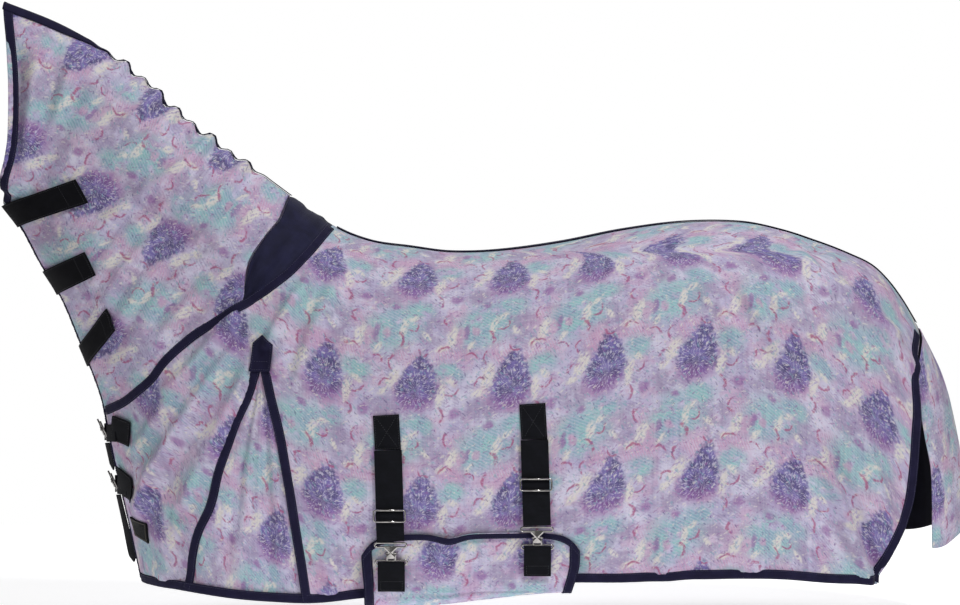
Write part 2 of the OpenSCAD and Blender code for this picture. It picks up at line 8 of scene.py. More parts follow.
import bpy
import numpy as np
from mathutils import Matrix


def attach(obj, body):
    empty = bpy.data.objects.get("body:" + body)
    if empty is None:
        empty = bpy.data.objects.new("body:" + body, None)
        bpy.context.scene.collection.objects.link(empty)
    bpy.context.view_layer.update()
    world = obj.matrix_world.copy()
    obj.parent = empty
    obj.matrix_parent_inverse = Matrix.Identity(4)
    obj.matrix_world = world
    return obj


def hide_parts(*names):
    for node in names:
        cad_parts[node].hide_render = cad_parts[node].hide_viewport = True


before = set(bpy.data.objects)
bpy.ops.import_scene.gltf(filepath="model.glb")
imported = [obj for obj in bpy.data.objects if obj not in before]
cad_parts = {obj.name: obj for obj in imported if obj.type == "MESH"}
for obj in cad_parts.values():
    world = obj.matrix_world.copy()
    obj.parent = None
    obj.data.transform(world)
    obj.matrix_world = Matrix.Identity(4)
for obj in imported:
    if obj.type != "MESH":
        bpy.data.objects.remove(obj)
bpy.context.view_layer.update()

MM = 0.001
NEAR, OFF = -1, 1

# ---------------------------------------------------------------- camera


def make_camera():
    """Side view from the near side, six metres away and 1.5 degrees downwards."""
    data = bpy.data.cameras.new("camera")
    data.sensor_width = 36
    data.lens = 112.54
    camera = bpy.data.objects.new("camera", data)
    camera.location = (0.294, -6.0, 0.005)
    camera.rotation_euler = (radians(90 - 1.4989), 0, 0)
    bpy.context.scene.collection.objects.link(camera)
    bpy.context.scene.camera = camera


make_camera()

# ---------------------------------------------------------------- shape of the rug

POLL_HALF_W, BARREL_HALF_W = 72, 268
RUMP_TAPER, BELLY_TUCK = 0.33, 0.15
BINDING_W = 18
WEBBING_W = 50

TOPLINE = [
    (-655, 446), (-545, 402), (-450, 348), (-370, 288), (-295, 217), (-140, 102),
    (0, 3), (75, -28), (155, -40), (235, -50), (335, -47), (455, -31), (575, -7),
    (695, 9), (815, 9), (895, -7), (975, -33), (1035, -57), (1075, -77),
    (1105, -105), (1135, -145), (1165, -195)]
FRONT = [
    (-705, -382), (-590, -407), (-460, -438), (-370, -457), (-290, -482),
    (-215, -512), (-135, -550), (-80, -582), (-10, -619), (43, -659)]
HEM = [
    (-382, -705), (-290, -704), (-110, -720), (-30, -724), (70, -715), (240, -704),
    (410, -688), (560, -683), (790, -674), (870, -676), (970, -687), (1063, -692)]
HEAD_EDGE = [(-655, 446), (-638, 330), (-634, 250), (-636, 165), (-648, 85), (-659, 43)]
STRETCH_EDGE = [(-80, 57), (-94, 11), (-119, -22), (-143, -57), (-157, -98), (-165, -154)]
UPPER_SEAM = [(0, 3), (-20, -25), (-41, -52), (-76, -88), (-114, -119)]
MIDDLE_SEAM = [(-114, -119), (-140, -137), (-165, -154)]
LOWER_SEAM = [(-165, -154), (-239, -195), (-282, -226), (-318, -261), (-349, -301),
              (-399, -340), (-457, -369)]
SLIT_TOP = [(-114, -119), (-121, -180), (-128, -240)]
LEFT_LEG = [(-128, -240), (-150, -315), (-180, -384), (-210, -472), (-224, -540),
            (-250, -600), (-273, -705)]
RIGHT_LEG = [(-128, -240), (-110, -320), (-90, -400), (-76, -480), (-63, -560),
             (-50, -640), (-38, -723)]
REAR_EDGE = [(1165, -195), (1150, -290), (1150, -375), (1146, -460), (1137, -535),
             (1115, -595), (1085, -648), (1063, -692)]


def smooth(t):
    c = np.clip(t, 0, 1)
    return c * c * (3 - 2 * c)


def mix(a, b, t):
    return a + (b - a) * t


def unit(v):
    return v / np.maximum(np.linalg.norm(v, axis=-1, keepdims=True), 1e-12)


def curve(points, a):
    """The smooth curve b(a) through a point list [a, b], straight beyond its ends."""
    p = np.array(points, float)
    a = np.asarray(a, float)
    n = len(p) - 1
    lo, hi = np.maximum(np.arange(n + 1) - 1, 0), np.minimum(np.arange(n + 1) + 1, n)
    slope = (p[hi, 1] - p[lo, 1]) / (p[hi, 0] - p[lo, 0])
    i = np.clip(np.searchsorted(p[:, 0], a, side="right") - 1, 0, n - 1)
    h = p[i + 1, 0] - p[i, 0]
    t = (a - p[i, 0]) / h
    inside = ((2 * t**3 - 3 * t**2 + 1) * p[i, 1] + (t**3 - 2 * t**2 + t) * h * slope[i]
              + (3 * t**2 - 2 * t**3) * p[i + 1, 1] + (t**3 - t**2) * h * slope[i + 1])
    before = p[0, 1] + slope[0] * (a - p[0, 0])
    after = p[n, 1] + slope[n] * (a - p[n, 0])
    return np.where(a <= p[0, 0], before, np.where(a >= p[n, 0], after, inside))


def spline(points, s):
    """Point at the share s of a free point list, by a Catmull-Rom spline."""
    p = np.array(points, float)
    n = len(p) - 1
    f = np.clip(np.asarray(s, float), 0, 1) * n
    i = np.minimum(np.floor(f).astype(int), n - 1)
    t = (f - i)[..., None]
    a, b, c, d = p[np.maximum(i - 1, 0)], p[i], p[i + 1], p[np.minimum(i + 2, n)]
    return 0.5 * (2 * b + (c - a) * t + (2 * a - 5 * b + 4 * c - d) * t**2
                  + (3 * b - a - 3 * c + d) * t**3)


def topline(x):
    return curve(TOPLINE, x)


def hem(x):
    return curve(HEM, x)


def front_edge(z):
    return curve(FRONT, z)


def side_y(x, z):
    """Half width of the rug at a side-view point."""
    full = ((POLL_HALF_W + (BARREL_HALF_W - POLL_HALF_W)
             * smooth((0.8 * x - 0.6 * z + 650) / 1050))
            * (1 - RUMP_TAPER * smooth((x - 800) / 400)))
    back_r = 190 + 50 * smooth((x + 400) / 400)
    chest_r = 120 + 110 * smooth((-z - 45) / 300)
    t = np.clip((topline(x) - z) / back_r, 0, 1)
    g = np.clip((x - front_edge(z)) / chest_r, 0, 1)
    tuck = 1 - BELLY_TUCK * smooth((-z - 515) / 230) * np.exp(-((x - 279) / 330) ** 4)
    return full * np.sqrt(1 - (1 - t) ** 2) * np.sqrt(1 - (1 - g) ** 2) * tuck


def skin_normal(x, z):
    """Outward normal of the near side."""
    ddx = (side_y(x + 1, z) - side_y(x - 1, z)) / 2
    ddz = (side_y(x, z + 1) - side_y(x, z - 1)) / 2
    return unit(np.stack([-ddx, -np.ones_like(ddx), -ddz], -1))


# ---------------------------------------------------------------- folds of the cloth

# Creases of the near side: side-view points [x, z], height and half width
NEAR_CREASES = [
    ([(-648, 380), (-640, 280), (-640, 180), (-648, 80)], 13, 13),
    ([(-575, 380), (-590, 250), (-610, 140), (-645, 60)], 15, 20),
    ([(-510, 340), (-545, 220), (-600, 90)], 8, 16),
    ([(-175, -200), (-250, -330), (-320, -440), (-395, -590)], 16, 17),
    ([(-210, -200), (-300, -330), (-390, -450)], 9, 16),
    ([(-150, -260), (-215, -400), (-290, -560)], 9, 15),
    ([(-150, -130), (-235, -235), (-330, -330)], 8, 12),
    ([(-55, -120), (-92, -180), (-118, -240)], 10, 11),
    ([(-20, -60), (-70, -170), (-100, -290)], 9, 14),
    ([(40, -70), (-15, -170), (-60, -300)], 8, 17),
    ([(792, -110), (840, -190), (900, -290)], 11, 15),
    ([(900, -40), (985, -130), (1120, -225)], 11, 18),
    ([(960, -80), (1040, -160), (1145, -290)], 8, 16),
    ([(700, -60), (760, -170), (800, -280)], 7, 20),
    ([(930, -400), (975, -510), (1015, -610), (1049, -703)], 20, 13),
    ([(1000, -330), (1050, -450), (1085, -590)], 9, 20),
    ([(-350, -430), (-330, -560), (-320, -700)], 7, 20),
    ([(640, -460), (655, -590), (650, -680)], 9, 26),
    ([(760, -420), (800, -540), (815, -670)], 8, 26),
    ([(-20, -430), (0, -560), (5, -715)], 8, 24)]
OFF_CREASES = [
    ([(-560, 340), (-570, 200), (-600, 80)], 7, 18),
    ([(-140, -200), (-260, -400), (-380, -600)], 6, 18),
    ([(760, -160), (830, -330), (860, -520)], 5, 22),
    ([(300, -420), (320, -560), (310, -690)], 4, 24)]


def crease(x, z, points, height, width):
    """A rounded ridge along a line, lower towards its ends, with a hollow beside it."""
    line = spline(points, np.linspace(0, 1, 24))
    best = np.full(np.shape(x), 1e9)
    share = np.zeros(np.shape(x))
    signed = np.zeros(np.shape(x))
    for k in range(len(line) - 1):
        a, ab = line[k], line[k + 1] - line[k]
        t = np.clip(((x - a[0]) * ab[0] + (z - a[1]) * ab[1]) / (ab @ ab), 0, 1)
        dx, dz = x - a[0] - t * ab[0], z - a[1] - t * ab[1]
        d = np.hypot(dx, dz)
        closer = d < best
        best = np.where(closer, d, best)
        share = np.where(closer, (k + t) / (len(line) - 1), share)
        signed = np.where(closer, np.sign(ab[0] * dz - ab[1] * dx) * d, signed)
    ends = smooth(share / 0.25) * smooth((1 - share) / 0.12)
    return 1.25 * height * ends * (np.exp(-(best / width) ** 2)
                            - 0.45 * np.exp(-((signed - 1.9 * width) / width) ** 2))


def folds(x, z, side):
    """How far the cloth stands off the plain skin."""
    shift = 0 if side == NEAR else 37
    far = topline(x) - z
    # slack cloth: long low waves, deeper towards the hem
    low = smooth(far / 500)
    wave = (3.4 * np.sin((x + 0.35 * z + shift) / 41) * low
            + 2.0 * np.sin((x - 0.5 * z) / 67 + 1.3) * low
            + 1.6 * np.sin((z + 0.3 * x) / 33 + 2.1) * smooth(far / 120)
            + 0.9 * np.sin((0.8 * x + z) / 17 + 0.6) * smooth(far / 150))
    # quiet where the surcingles are sewn
    quiet = np.exp(-((x - 258) / 230) ** 6) * smooth((-z - 290) / 60)
    wave = wave * (1 - 0.8 * quiet)
    # diagonal folds of the neck, from the throat to the crest
    across = 0.71 * x - 0.70 * z + 14 * np.sin((x + z) / 90)
    neck = smooth((-110 - x) / 90) * smooth((x + 505) / 110) * smooth((z + 330) / 200)
    pleat = np.sin(across / 7.2) + 0.55 * np.sin(across / 12.3 + 1.0)
    crest = np.exp(-(far / 130))
    wave = wave + neck * (3.4 + 3.6 * crest) * (pleat - 0.3)
    if side == OFF:
        # the off side stands a little higher than the spine seam along the back
        hump = np.exp(-((x - 470) / 150) ** 4) * np.exp(-((far - 10) / 12) ** 2)
        wave = wave + 9 * hump
    for points, height, width in NEAR_CREASES if side == NEAR else OFF_CREASES:
        wave = wave + crease(x, z, points, height, width)
    # the seam along the back and the sewn straps hold the cloth down
    wave = wave * smooth(far / 22 + 0.25 + 0.5 * smooth((-110 - x) / 60))
    # the front edge is turned under and stays flat
    ahead = x - front_edge(z)
    wave = wave * (1 - smooth((-z - 330) / 60) * (1 - smooth(ahead / 55)))
    return np.where(quiet > 0.3, np.minimum(wave, 2.5), wave)


def surface(x, z, side=NEAR, out=0.0):
    """Point of the draped cloth at a side-view point, out millimetres above it."""
    x, z = np.broadcast_arrays(np.asarray(x, float), np.asarray(z, float))
    n = skin_normal(x, z)
    d = folds(x, z, side) + out
    p = np.stack([x, -side_y(x, z), z], -1) + n * d[..., None]
    p[..., 1] = np.minimum(p[..., 1], -0.25)
    if side == OFF:
        p[..., 1] *= -1
    return p


def normal(x, z, side=NEAR):
    n = skin_normal(np.asarray(x, float), np.asarray(z, float))
    if side == OFF:
        n = n * np.array([1, -1, 1])
    return n


def cloth_coordinates(x, z):
    """Distances on the flat cloth, in metres: along the body, and down from the spine."""
    steps = 24
    x0 = 100.0
    ks = np.linspace(0, 1, steps)
    along = np.zeros(np.shape(x))
    last = side_y(np.full(np.shape(x), x0), z)
    for k in ks[1:]:
        xk = mix(x0, x, k)
        yk = side_y(xk, z)
        along += np.hypot((x - x0) / (steps - 1), yk - last)
        last = yk
    along = np.sign(x - x0) * along
    down = np.zeros(np.shape(x))
    top = topline(x)
    last_y, last_z = np.zeros(np.shape(x)), top
    for k in ks[1:] ** 2:
        zk = mix(top, z, k)
        yk = side_y(x, zk)
        down += np.hypot(yk - last_y, zk - last_z)
        last_y, last_z = yk, zk
    return np.stack([along, -down], -1) * MM


# ---------------------------------------------------------------- mesh helpers


class Builder:
    """Collects vertices (mm), faces, cloth coordinates and material numbers."""

    def __init__(self):
        self.verts, self.faces, self.uvs, self.mats = [], [], [], []
        self.count = 0

    def add(self, verts, faces, uvs=None, mat=0):
        verts = np.asarray(verts, float).reshape(-1, 3)
        faces = np.asarray(faces, int)
        uvs = np.zeros((len(verts), 2)) if uvs is None else np.asarray(uvs, float).reshape(-1, 2)
        self.verts.append(verts)
        self.uvs.append(uvs)
        self.faces.append(faces + self.count)
        self.mats.append(np.full(len(faces), mat))
        self.count += len(verts)

    def grid(self, points, uvs=None, flip=False, mat=0):
        """An open grid of points (rows, columns, 3)."""
        m, n = points.shape[:2]
        i = np.arange((m - 1) * n).reshape(m - 1, n)[:, :-1].ravel()
        f = np.stack([i, i + 1, i + n + 1, i + n], -1)
        self.add(points, f[:, ::-1] if flip else f, uvs, mat)

    def tube(self, rings, closed=False, mat=0, uvs=None):
        """A tube through rings of points (rings, sides, 3), capped unless closed."""
        m, n = rings.shape[:2]
        r = np.arange(m if closed else m - 1)
        c = np.arange(n)
        a = (r[:, None] * n + c).ravel()
        b = (r[:, None] * n + (c + 1) % n).ravel()
        up = ((r[:, None] + 1) % m * n + c).ravel()
        up_b = ((r[:, None] + 1) % m * n + (c + 1) % n).ravel()
        self.add(rings, np.stack([a, b, up_b, up], -1), uvs, mat)
        if not closed:
            start = self.count - m * n
            for ring, order in ((0, -1), (m - 1, 1)):
                centre = rings[ring].mean(0)
                base = start + ring * n
                tip = self.count
                uv = [[0, 0]] if uvs is None else [np.asarray(uvs).reshape(-1, 2)[ring * n]]
                self.add([centre], np.zeros((0, 4), int), uv, mat)
                tri = [[base + k, base + (k + 1) % n, tip][::order] for k in range(n)]
                self.faces.append(np.array(tri))
                self.mats.append(np.full(n, mat))

    def build(self, name, materials, weld=0.0):
        mesh = bpy.data.meshes.new(name)
        verts = np.concatenate(self.verts) * MM
        faces = [tuple(f) for block in self.faces for f in block.tolist()]
        mesh.from_pydata(verts.tolist(), [], faces)
        for m in materials:
            mesh.materials.append(m)
        mesh.polygons.foreach_set("material_index", np.concatenate(self.mats).astype(np.int32))
        mesh.polygons.foreach_set("use_smooth", np.ones(len(faces), bool))
        layer = mesh.uv_layers.new(name="cloth")
        loops = np.zeros(len(mesh.loops), np.int32)
        mesh.loops.foreach_get("vertex_index", loops)
        layer.data.foreach_set("uv", np.concatenate(self.uvs)[loops].astype(np.float32).ravel())
        mesh.validate()
        mesh.update()
        obj = bpy.data.objects.new(name, mesh)
        bpy.context.scene.collection.objects.link(obj)
        if weld:
            w = obj.modifiers.new("weld", "WELD")
            w.merge_threshold = weld
        return obj


def thicken(obj, thickness, offset=-1):
    s = obj.modifiers.new("thickness", "SOLIDIFY")
    s.thickness = thickness * MM
    s.offset = offset
    return obj


def settle(obj, body, slot, *nodes):
    """Rides on its body and stands for its CAD nodes."""
    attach(obj, body)
    if nodes:
        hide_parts(*nodes)
    return obj


def frames_along(points, normals):
    """Tangent and sideways direction at each point of a path."""
    ahead = np.concatenate([points[1:], points[-1:]])
    behind = np.concatenate([points[:1], points[:-1]])
    t = unit(ahead - behind)
    s = unit(np.cross(normals, t))
    return t, s


def lengths_along(points):
    return np.concatenate([[0], np.cumsum(np.linalg.norm(np.diff(points, axis=0), axis=1))])


def rounded_profile(width, low, high, corner=0.8, steps=2):
    """Closed outline of a flat band with round corners, in (sideways, normal)."""
    corner = min(corner, (high - low) / 2)
    out = []
    for cx, cy, start in ((width / 2, low, -90), (width / 2, high, 0),
                          (-width / 2, high, 90), (-width / 2, low, 180)):
        sx, sy = np.sign(cx), (1 if cy == high else -1)
        for k in range(steps + 1):
            a = radians(start + 90 * k / steps)
            out.append([cx - sx * corner + corner * cos(a), cy - sy * corner + corner * sin(a)])
    return np.array(out)


def sweep(builder, points, normals, profile, mat=0):
    """A band swept along a path: profile points are (sideways, normal)."""
    _, s = frames_along(points, normals)
    rings = (points[:, None, :] + s[:, None, :] * profile[None, :, :1]
             + normals[:, None, :] * profile[None, :, 1:])
    run = lengths_along(points)
    around = lengths_along(np.vstack([profile, profile[:1]]))[:-1]
    uvs = np.stack(np.broadcast_arrays(run[:, None], around[None, :]), -1) * MM
    builder.tube(rings, mat=mat, uvs=uvs)


def stitches(builder, points, normals, mat, pitch=4.6, length=3.3, radius=0.38):
    """A row of lock stitches lying along a path."""
    run = lengths_along(points)
    count = max(int(run[-1] / pitch), 1)
    at = (np.arange(count) + 0.5) * run[-1] / count
    centre = np.stack([np.interp(at, run, points[:, k]) for k in range(3)], -1)
    nrm = unit(np.stack([np.interp(at, run, normals[:, k]) for k in range(3)], -1))
    ahead = np.stack([np.interp(at + 0.5, run, points[:, k]) for k in range(3)], -1)
    back = np.stack([np.interp(at - 0.5, run, points[:, k]) for k in range(3)], -1)
    t = unit(ahead - back)
    s = unit(np.cross(nrm, t))
    sides = 5
    rings = []
    for along, size, lift in ((-0.5, 0.25, -0.3), (-0.28, 1, 0.12),
                              (0.28, 1, 0.12), (0.5, 0.25, -0.3)):
        for k in range(sides):
            a = 2 * pi * k / sides
            rings.append((along * length, size * radius * cos(a), size * radius * sin(a) + lift))
    tmpl = np.array(rings)
    verts = (centre[:, None] + t[:, None] * tmpl[None, :, :1] + s[:, None] * tmpl[None, :, 1:2]
             + nrm[:, None] * tmpl[None, :, 2:])
    faces = []
    for r in range(3):
        for k in range(sides):
            a, b = r * sides + k, r * sides + (k + 1) % sides
            faces.append([a, b, b + sides, a + sides])
    faces = np.array(faces)
    per = len(tmpl)
    all_faces = (faces[None] + (np.arange(count) * per)[:, None, None]).reshape(-1, 4)
    builder.add(verts, all_faces, None, mat)


# ---------------------------------------------------------------- materials


def srgb(r, g, b):
    def one(c):
        c = c / 255
        return c / 12.92 if c <= 0.04045 else ((c + 0.055) / 1.055) ** 2.4
    return (one(r), one(g), one(b), 1)


class Shader:
    """A material under construction, with short calls for its nodes."""

    def __init__(self, name, **constants):
        self.material = bpy.data.materials.new(name)
        self.material.use_nodes = True
        self.tree = self.material.node_tree
        self.tree.nodes.clear()
        out = self.tree.nodes.new("ShaderNodeOutputMaterial")
        self.bsdf = self.tree.nodes.new("ShaderNodeBsdfPrincipled")
        self.tree.links.new(self.bsdf.outputs[0], out.inputs[0])
        for key, value in constants.items():
            self.bsdf.inputs[key.replace("_", " ")].default_value = value

    def put(self, value, socket):
        if isinstance(value, bpy.types.NodeSocket):
            self.tree.links.new(value, socket)
        else:
            socket.default_value = value

    def node(self, kind, inputs=(), out=0, **props):
        n = self.tree.nodes.new(kind)
        for key, value in props.items():
            setattr(n, key, value)
        for key, value in dict(inputs).items():
            self.put(value, n.inputs[key])
        return n.outputs[out]

    def math(self, operation, *values, clamp=False):
        return self.node("ShaderNodeMath", enumerate(values), operation=operation, use_clamp=clamp)

    def vector(self, operation, *values, out=0):
        return self.node("ShaderNodeVectorMath", enumerate(values), out, operation=operation)

    def mix(self, share, a, b, blend="MIX"):
        return self.node("ShaderNodeMix", {0: share, 6: a, 7: b}, 2,
                         data_type="RGBA", blend_type=blend)

    def step(self, value, low, high):
        """0 at low, 1 at high, smooth between."""
        return self.node("ShaderNodeMapRange", {0: value, 1: low, 2: high},
                         interpolation_type="SMOOTHSTEP")

    def noise(self, vector, scale, detail=2.0, rough=0.5, colour=False):
        return self.node("ShaderNodeTexNoise", {"Vector": vector, "Scale": scale,
                         "Detail": detail, "Roughness": rough}, 1 if colour else 0)

    def scaled(self, vector, x, y, z=1.0):
        return self.vector("MULTIPLY", vector, (x, y, z))

    def uv(self, name="cloth"):
        return self.node("ShaderNodeUVMap", uv_map=name)

    def place(self):
        return self.node("ShaderNodeTexCoord", out=3)

    def axis(self, vector, which):
        return self.node("ShaderNodeSeparateXYZ", {0: vector}, which)

    def stripes(self, coordinate, pitch):
        """A wave from 0 to 1 with the given pitch in metres."""
        wave = self.math("SINE", self.math("MULTIPLY", coordinate, 2 * pi / pitch))
        return self.math("MULTIPLY_ADD", wave, 0.5, 0.5)

    def bump(self, height, strength, distance=0.001, after=None):
        inputs = {"Height": height, "Strength": strength, "Distance": distance}
        if after is not None:
            inputs["Normal"] = after
        return self.node("ShaderNodeBump", inputs)

    def finish(self, colour=None, roughness=None, normal=None):
        if colour is not None:
            self.put(colour, self.bsdf.inputs["Base Color"])
        if roughness is not None:
            self.put(roughness, self.bsdf.inputs["Roughness"])
        if normal is not None:
            self.put(normal, self.bsdf.inputs["Normal"])
        return self.material


REPEAT_W, REPEAT_H = 0.180, 0.232        # repeat of the print along and across the cloth

LILAC, PALE = srgb(178, 170, 200), srgb(206, 202, 220)
MAUVE, PINK = srgb(150, 136, 166), srgb(194, 152, 182)
TEAL, MINT = srgb(116, 162, 176), srgb(128, 188, 184)
VIOLET, DEEP, BLOOM = srgb(104, 92, 160), srgb(62, 54, 112), srgb(140, 86, 150)
CREAM, MAGENTA, INK = srgb(216, 211, 202), srgb(160, 62, 110), srgb(60, 54, 88)

# marks of one repeat: across, up, width and height in metres, turn in degrees, blur
ROSY_MARKS = [(-0.018, 0.050, 0.050, 0.052, 0, 0.5), (0.064, 0.048, 0.075, 0.050, 10, 0.5),
              (0.080, 0.118, 0.060, 0.040, 20, 0.5)]
DUSKY_MARKS = [(0.024, 0.104, 0.060, 0.085, 12, 0.5), (-0.062, -0.055, 0.055, 0.050, 0, 0.5)]
TEAL_MARKS = [(-0.048, 0.106, 0.115, 0.085, 24, 0.45), (0.062, 0.018, 0.052, 0.040, 0, 0.5),
              (0.004, -0.086, 0.060, 0.040, 0, 0.5)]
SMUDGE_MARKS = [(0.099, 0.094, 0.012, 0.030, -12, 0.4), (0.076, -0.060, 0.022, 0.018, 30, 0.5),
                (-0.044, -0.082, 0.018, 0.014, 0, 0.5)]
CREAM_MARKS = [(-0.046, 0.004, 0.021, 0.048, -28, 0.4), (-0.064, -0.022, 0.024, 0.014, 30, 0.5),
               (0.046, -0.026, 0.016, 0.046, -10, 0.4), (0.064, -0.002, 0.022, 0.012, -35, 0.5),
               (0.068, 0.086, 0.020, 0.044, -20, 0.4), (0.046, 0.064, 0.024, 0.013, 15, 0.5),
               (-0.027, 0.104, 0.015, 0.042, -16, 0.4), (-0.008, 0.126, 0.022, 0.011, 30, 0.5),
               (0.016, 0.092, 0.010, 0.022, 40, 0.5), (-0.076, 0.066, 0.010, 0.024, -40, 0.5)]
FLANK_MARKS = [(0.085, 0.086, 0.018, 0.036, -12, 0.4), (-0.062, 0.094, 0.016, 0.020, 10, 0.4)]
# curls of one repeat: across, up, radius and line width in metres, turn in degrees
CURL_ARCS = [(-0.060, -0.008, 0.013, 0.0032, 120), (-0.040, 0.036, 0.014, 0.0032, 170),
             (0.062, -0.014, 0.014, 0.0030, -60), (0.054, 0.052, 0.015, 0.0034, 95),
             (0.068, 0.122, 0.014, 0.0034, 175), (-0.012, 0.112, 0.014, 0.0030, -50),
             (-0.040, 0.078, 0.014, 0.0042, 20), (0.040, -0.064, 0.013, 0.0040, 10),
             (0.014, 0.062, 0.011, 0.0028, -120), (-0.080, 0.040, 0.012, 0.0030, 60)]


def printed_mesh():
    s = Shader("printed_mesh", Roughness=0.88, Sheen_Weight=0.10, Sheen_Roughness=0.5,
               Specular_IOR_Level=0.2)
    flat = s.uv()
    # the brush drawing: every shape is a little distorted and differs from repeat to repeat
    push = s.vector("SUBTRACT", s.noise(flat, 60, 2, 0.5, True), (0.5, 0.5, 0.5))
    coarse = s.vector("SUBTRACT", s.noise(flat, 7, 1, 0.5, True), (0.5, 0.5, 0.5))
    point = s.vector("ADD", flat, s.vector("MULTIPLY_ADD", push, (0.012, 0.012, 0),
                                           s.scaled(coarse, 0.026, 0.026, 0)))
    fine = s.noise(flat, 130, 3, 0.6)
    medium = s.noise(flat, 36, 3, 0.6)

    def cell(x, y):
        """Position relative to the nearest copy of a motif centred at x, y."""
        q = s.vector("MULTIPLY_ADD", point, (1 / REPEAT_W, 1 / REPEAT_H, 0),
                     (0.5 - x / REPEAT_W, 0.5 - y / REPEAT_H, 0))
        f = s.vector("FRACTION", q)
        return s.vector("MULTIPLY_ADD", f, (REPEAT_W, REPEAT_H, 0),
                        (-REPEAT_W / 2, -REPEAT_H / 2, 0))

    def blob(x, y, w, h, turn=0, soft=0.25):
        local = cell(x, y)
        if turn:
            local = s.node("ShaderNodeVectorRotate", {"Vector": local, "Angle": radians(-turn)},
                           rotation_type="Z_AXIS")
        length = s.vector("LENGTH", s.scaled(local, 2 / w, 2 / h, 0), out=1)
        return s.step(length, 1 + soft, 1 - soft)

    def arc(x, y, radius, width, turn):
        """A third of a ring, thick in the middle, bulging towards the turn angle."""
        local = cell(x, y)
        length = s.vector("LENGTH", local, out=1)
        side = s.vector("DOT_PRODUCT", local, (cos(radians(turn)), sin(radians(turn)), 0), out=1)
        off = s.math("ABSOLUTE", s.math("SUBTRACT", length, radius))
        line = s.step(off, width, width * 0.3)
        return s.math("MULTIPLY", line, s.step(side, radius * 0.2, radius * 0.7))

    def joined(operation, masks):
        total = masks[0]
        for m in masks[1:]:
            total = s.math(operation, total, m)
        return total

    def any_of(*masks):
        return joined("MAXIMUM", masks)

    def times(*masks):
        return joined("MULTIPLY", masks)

    def blobs(marks):
        return any_of(*[blob(*mark) for mark in marks])

    def arcs(marks):
        return any_of(*[arc(*mark) for mark in marks])

    # watercolour ground, broken up by fine brush hatching in two directions
    wash = s.noise(flat, 15, 4, 0.65)
    wash_b = s.noise(s.vector("ADD", flat, (3.1, 1.7, 0)), 19, 4, 0.65)
    wash_c = s.noise(s.vector("ADD", flat, (7.9, 5.3, 0)), 24, 4, 0.65)
    bent = s.vector("MULTIPLY_ADD", push, (0.004, 0.004, 0), flat)
    steep = s.stripes(s.vector("DOT_PRODUCT", bent, (0.94, 0.34, 0), out=1), 0.0050)
    level = s.stripes(s.vector("DOT_PRODUCT", bent, (0.5, 0.87, 0), out=1), 0.0056)
    colour = s.mix(s.step(wash, 0.36, 0.64), LILAC, PALE)
    hatching = times(s.step(level, 0.45, 0.85), s.step(wash_c, 0.46, 0.56), 0.30)
    colour = s.mix(hatching, colour, VIOLET)
    colour = s.mix(times(s.step(wash_b, 0.48, 0.62), 0.55), colour, PINK)
    colour = s.mix(times(s.step(wash_c, 0.50, 0.64), 0.55), colour, MAUVE)
    rosy = blobs(ROSY_MARKS)
    rosy = times(rosy, s.math("MULTIPLY_ADD", steep, 0.55, 0.35), s.step(medium, 0.30, 0.52))
    colour = s.mix(rosy, colour, PINK)
    dusky = blobs(DUSKY_MARKS)
    dusky = times(dusky, s.step(medium, 0.34, 0.56))
    colour = s.mix(times(dusky, 0.75), colour, MAUVE)
    teal = blobs(TEAL_MARKS)
    teal = times(teal, s.step(s.math("MULTIPLY_ADD", wash, 0.6, medium), 0.60, 0.80))
    teal_tone = s.mix(s.step(wash_c, 0.42, 0.58), TEAL, MINT)
    teal_tone = s.mix(times(level, 0.35), teal_tone, PALE)
    colour = s.mix(times(teal, 0.9), colour, teal_tone)
    smudge = blobs(SMUDGE_MARKS)
    colour = s.mix(times(smudge, 0.7), colour, BLOOM)

    # tufts: an egg of short pale strokes on deep violet, pinkish and blurred at its foot
    local = s.vector("ADD", cell(0.0, 0.0), (0, 0.014, 0))
    lx, ly = s.axis(local, 0), s.axis(local, 1)
    lean = s.math("MULTIPLY_ADD", ly, -0.17, lx)
    up = s.math("MAXIMUM", ly, 0.0)
    half = s.math("MULTIPLY_ADD", up, -0.26, 0.041)
    wide = s.math("DIVIDE", lean, half)
    tall = s.math("MAXIMUM", s.math("DIVIDE", ly, 0.074), s.math("DIVIDE", ly, -0.044))
    reach = s.math("SQRT", s.math("MULTIPLY_ADD", wide, wide, s.math("MULTIPLY", tall, tall)))
    ragged = s.math("MULTIPLY_ADD", s.math("SUBTRACT", fine, 0.5), 0.75, reach)
    tuft = s.step(ragged, 1.08, 0.78)
    glow = times(s.step(reach, 1.45, 0.75), s.step(ly, 0.02, -0.03))
    colour = s.mix(times(glow, 0.75), colour, BLOOM)
    focus = s.vector("ADD", local, (0, 0.008, 0))
    angle = s.math("ARCTAN2", s.axis(focus, 1), s.axis(focus, 0))
    radius = s.vector("LENGTH", focus, out=1)
    polar = s.node("ShaderNodeCombineXYZ", {0: s.math("MULTIPLY", angle, 10.5),
                                           1: s.math("MULTIPLY", radius, 125)})
    strokes = s.noise(polar, 1, 2, 0.55)
    depth = s.mix(s.step(s.noise(flat, 52, 3), 0.38, 0.60), VIOLET, DEEP)
    depth = s.mix(times(s.step(ly, -0.004, -0.034), 0.6), depth, BLOOM)
    depth = s.mix(times(s.step(strokes, 0.50, 0.66), 0.66), depth, PALE)
    colour = s.mix(times(tuft, 0.94), colour, depth)

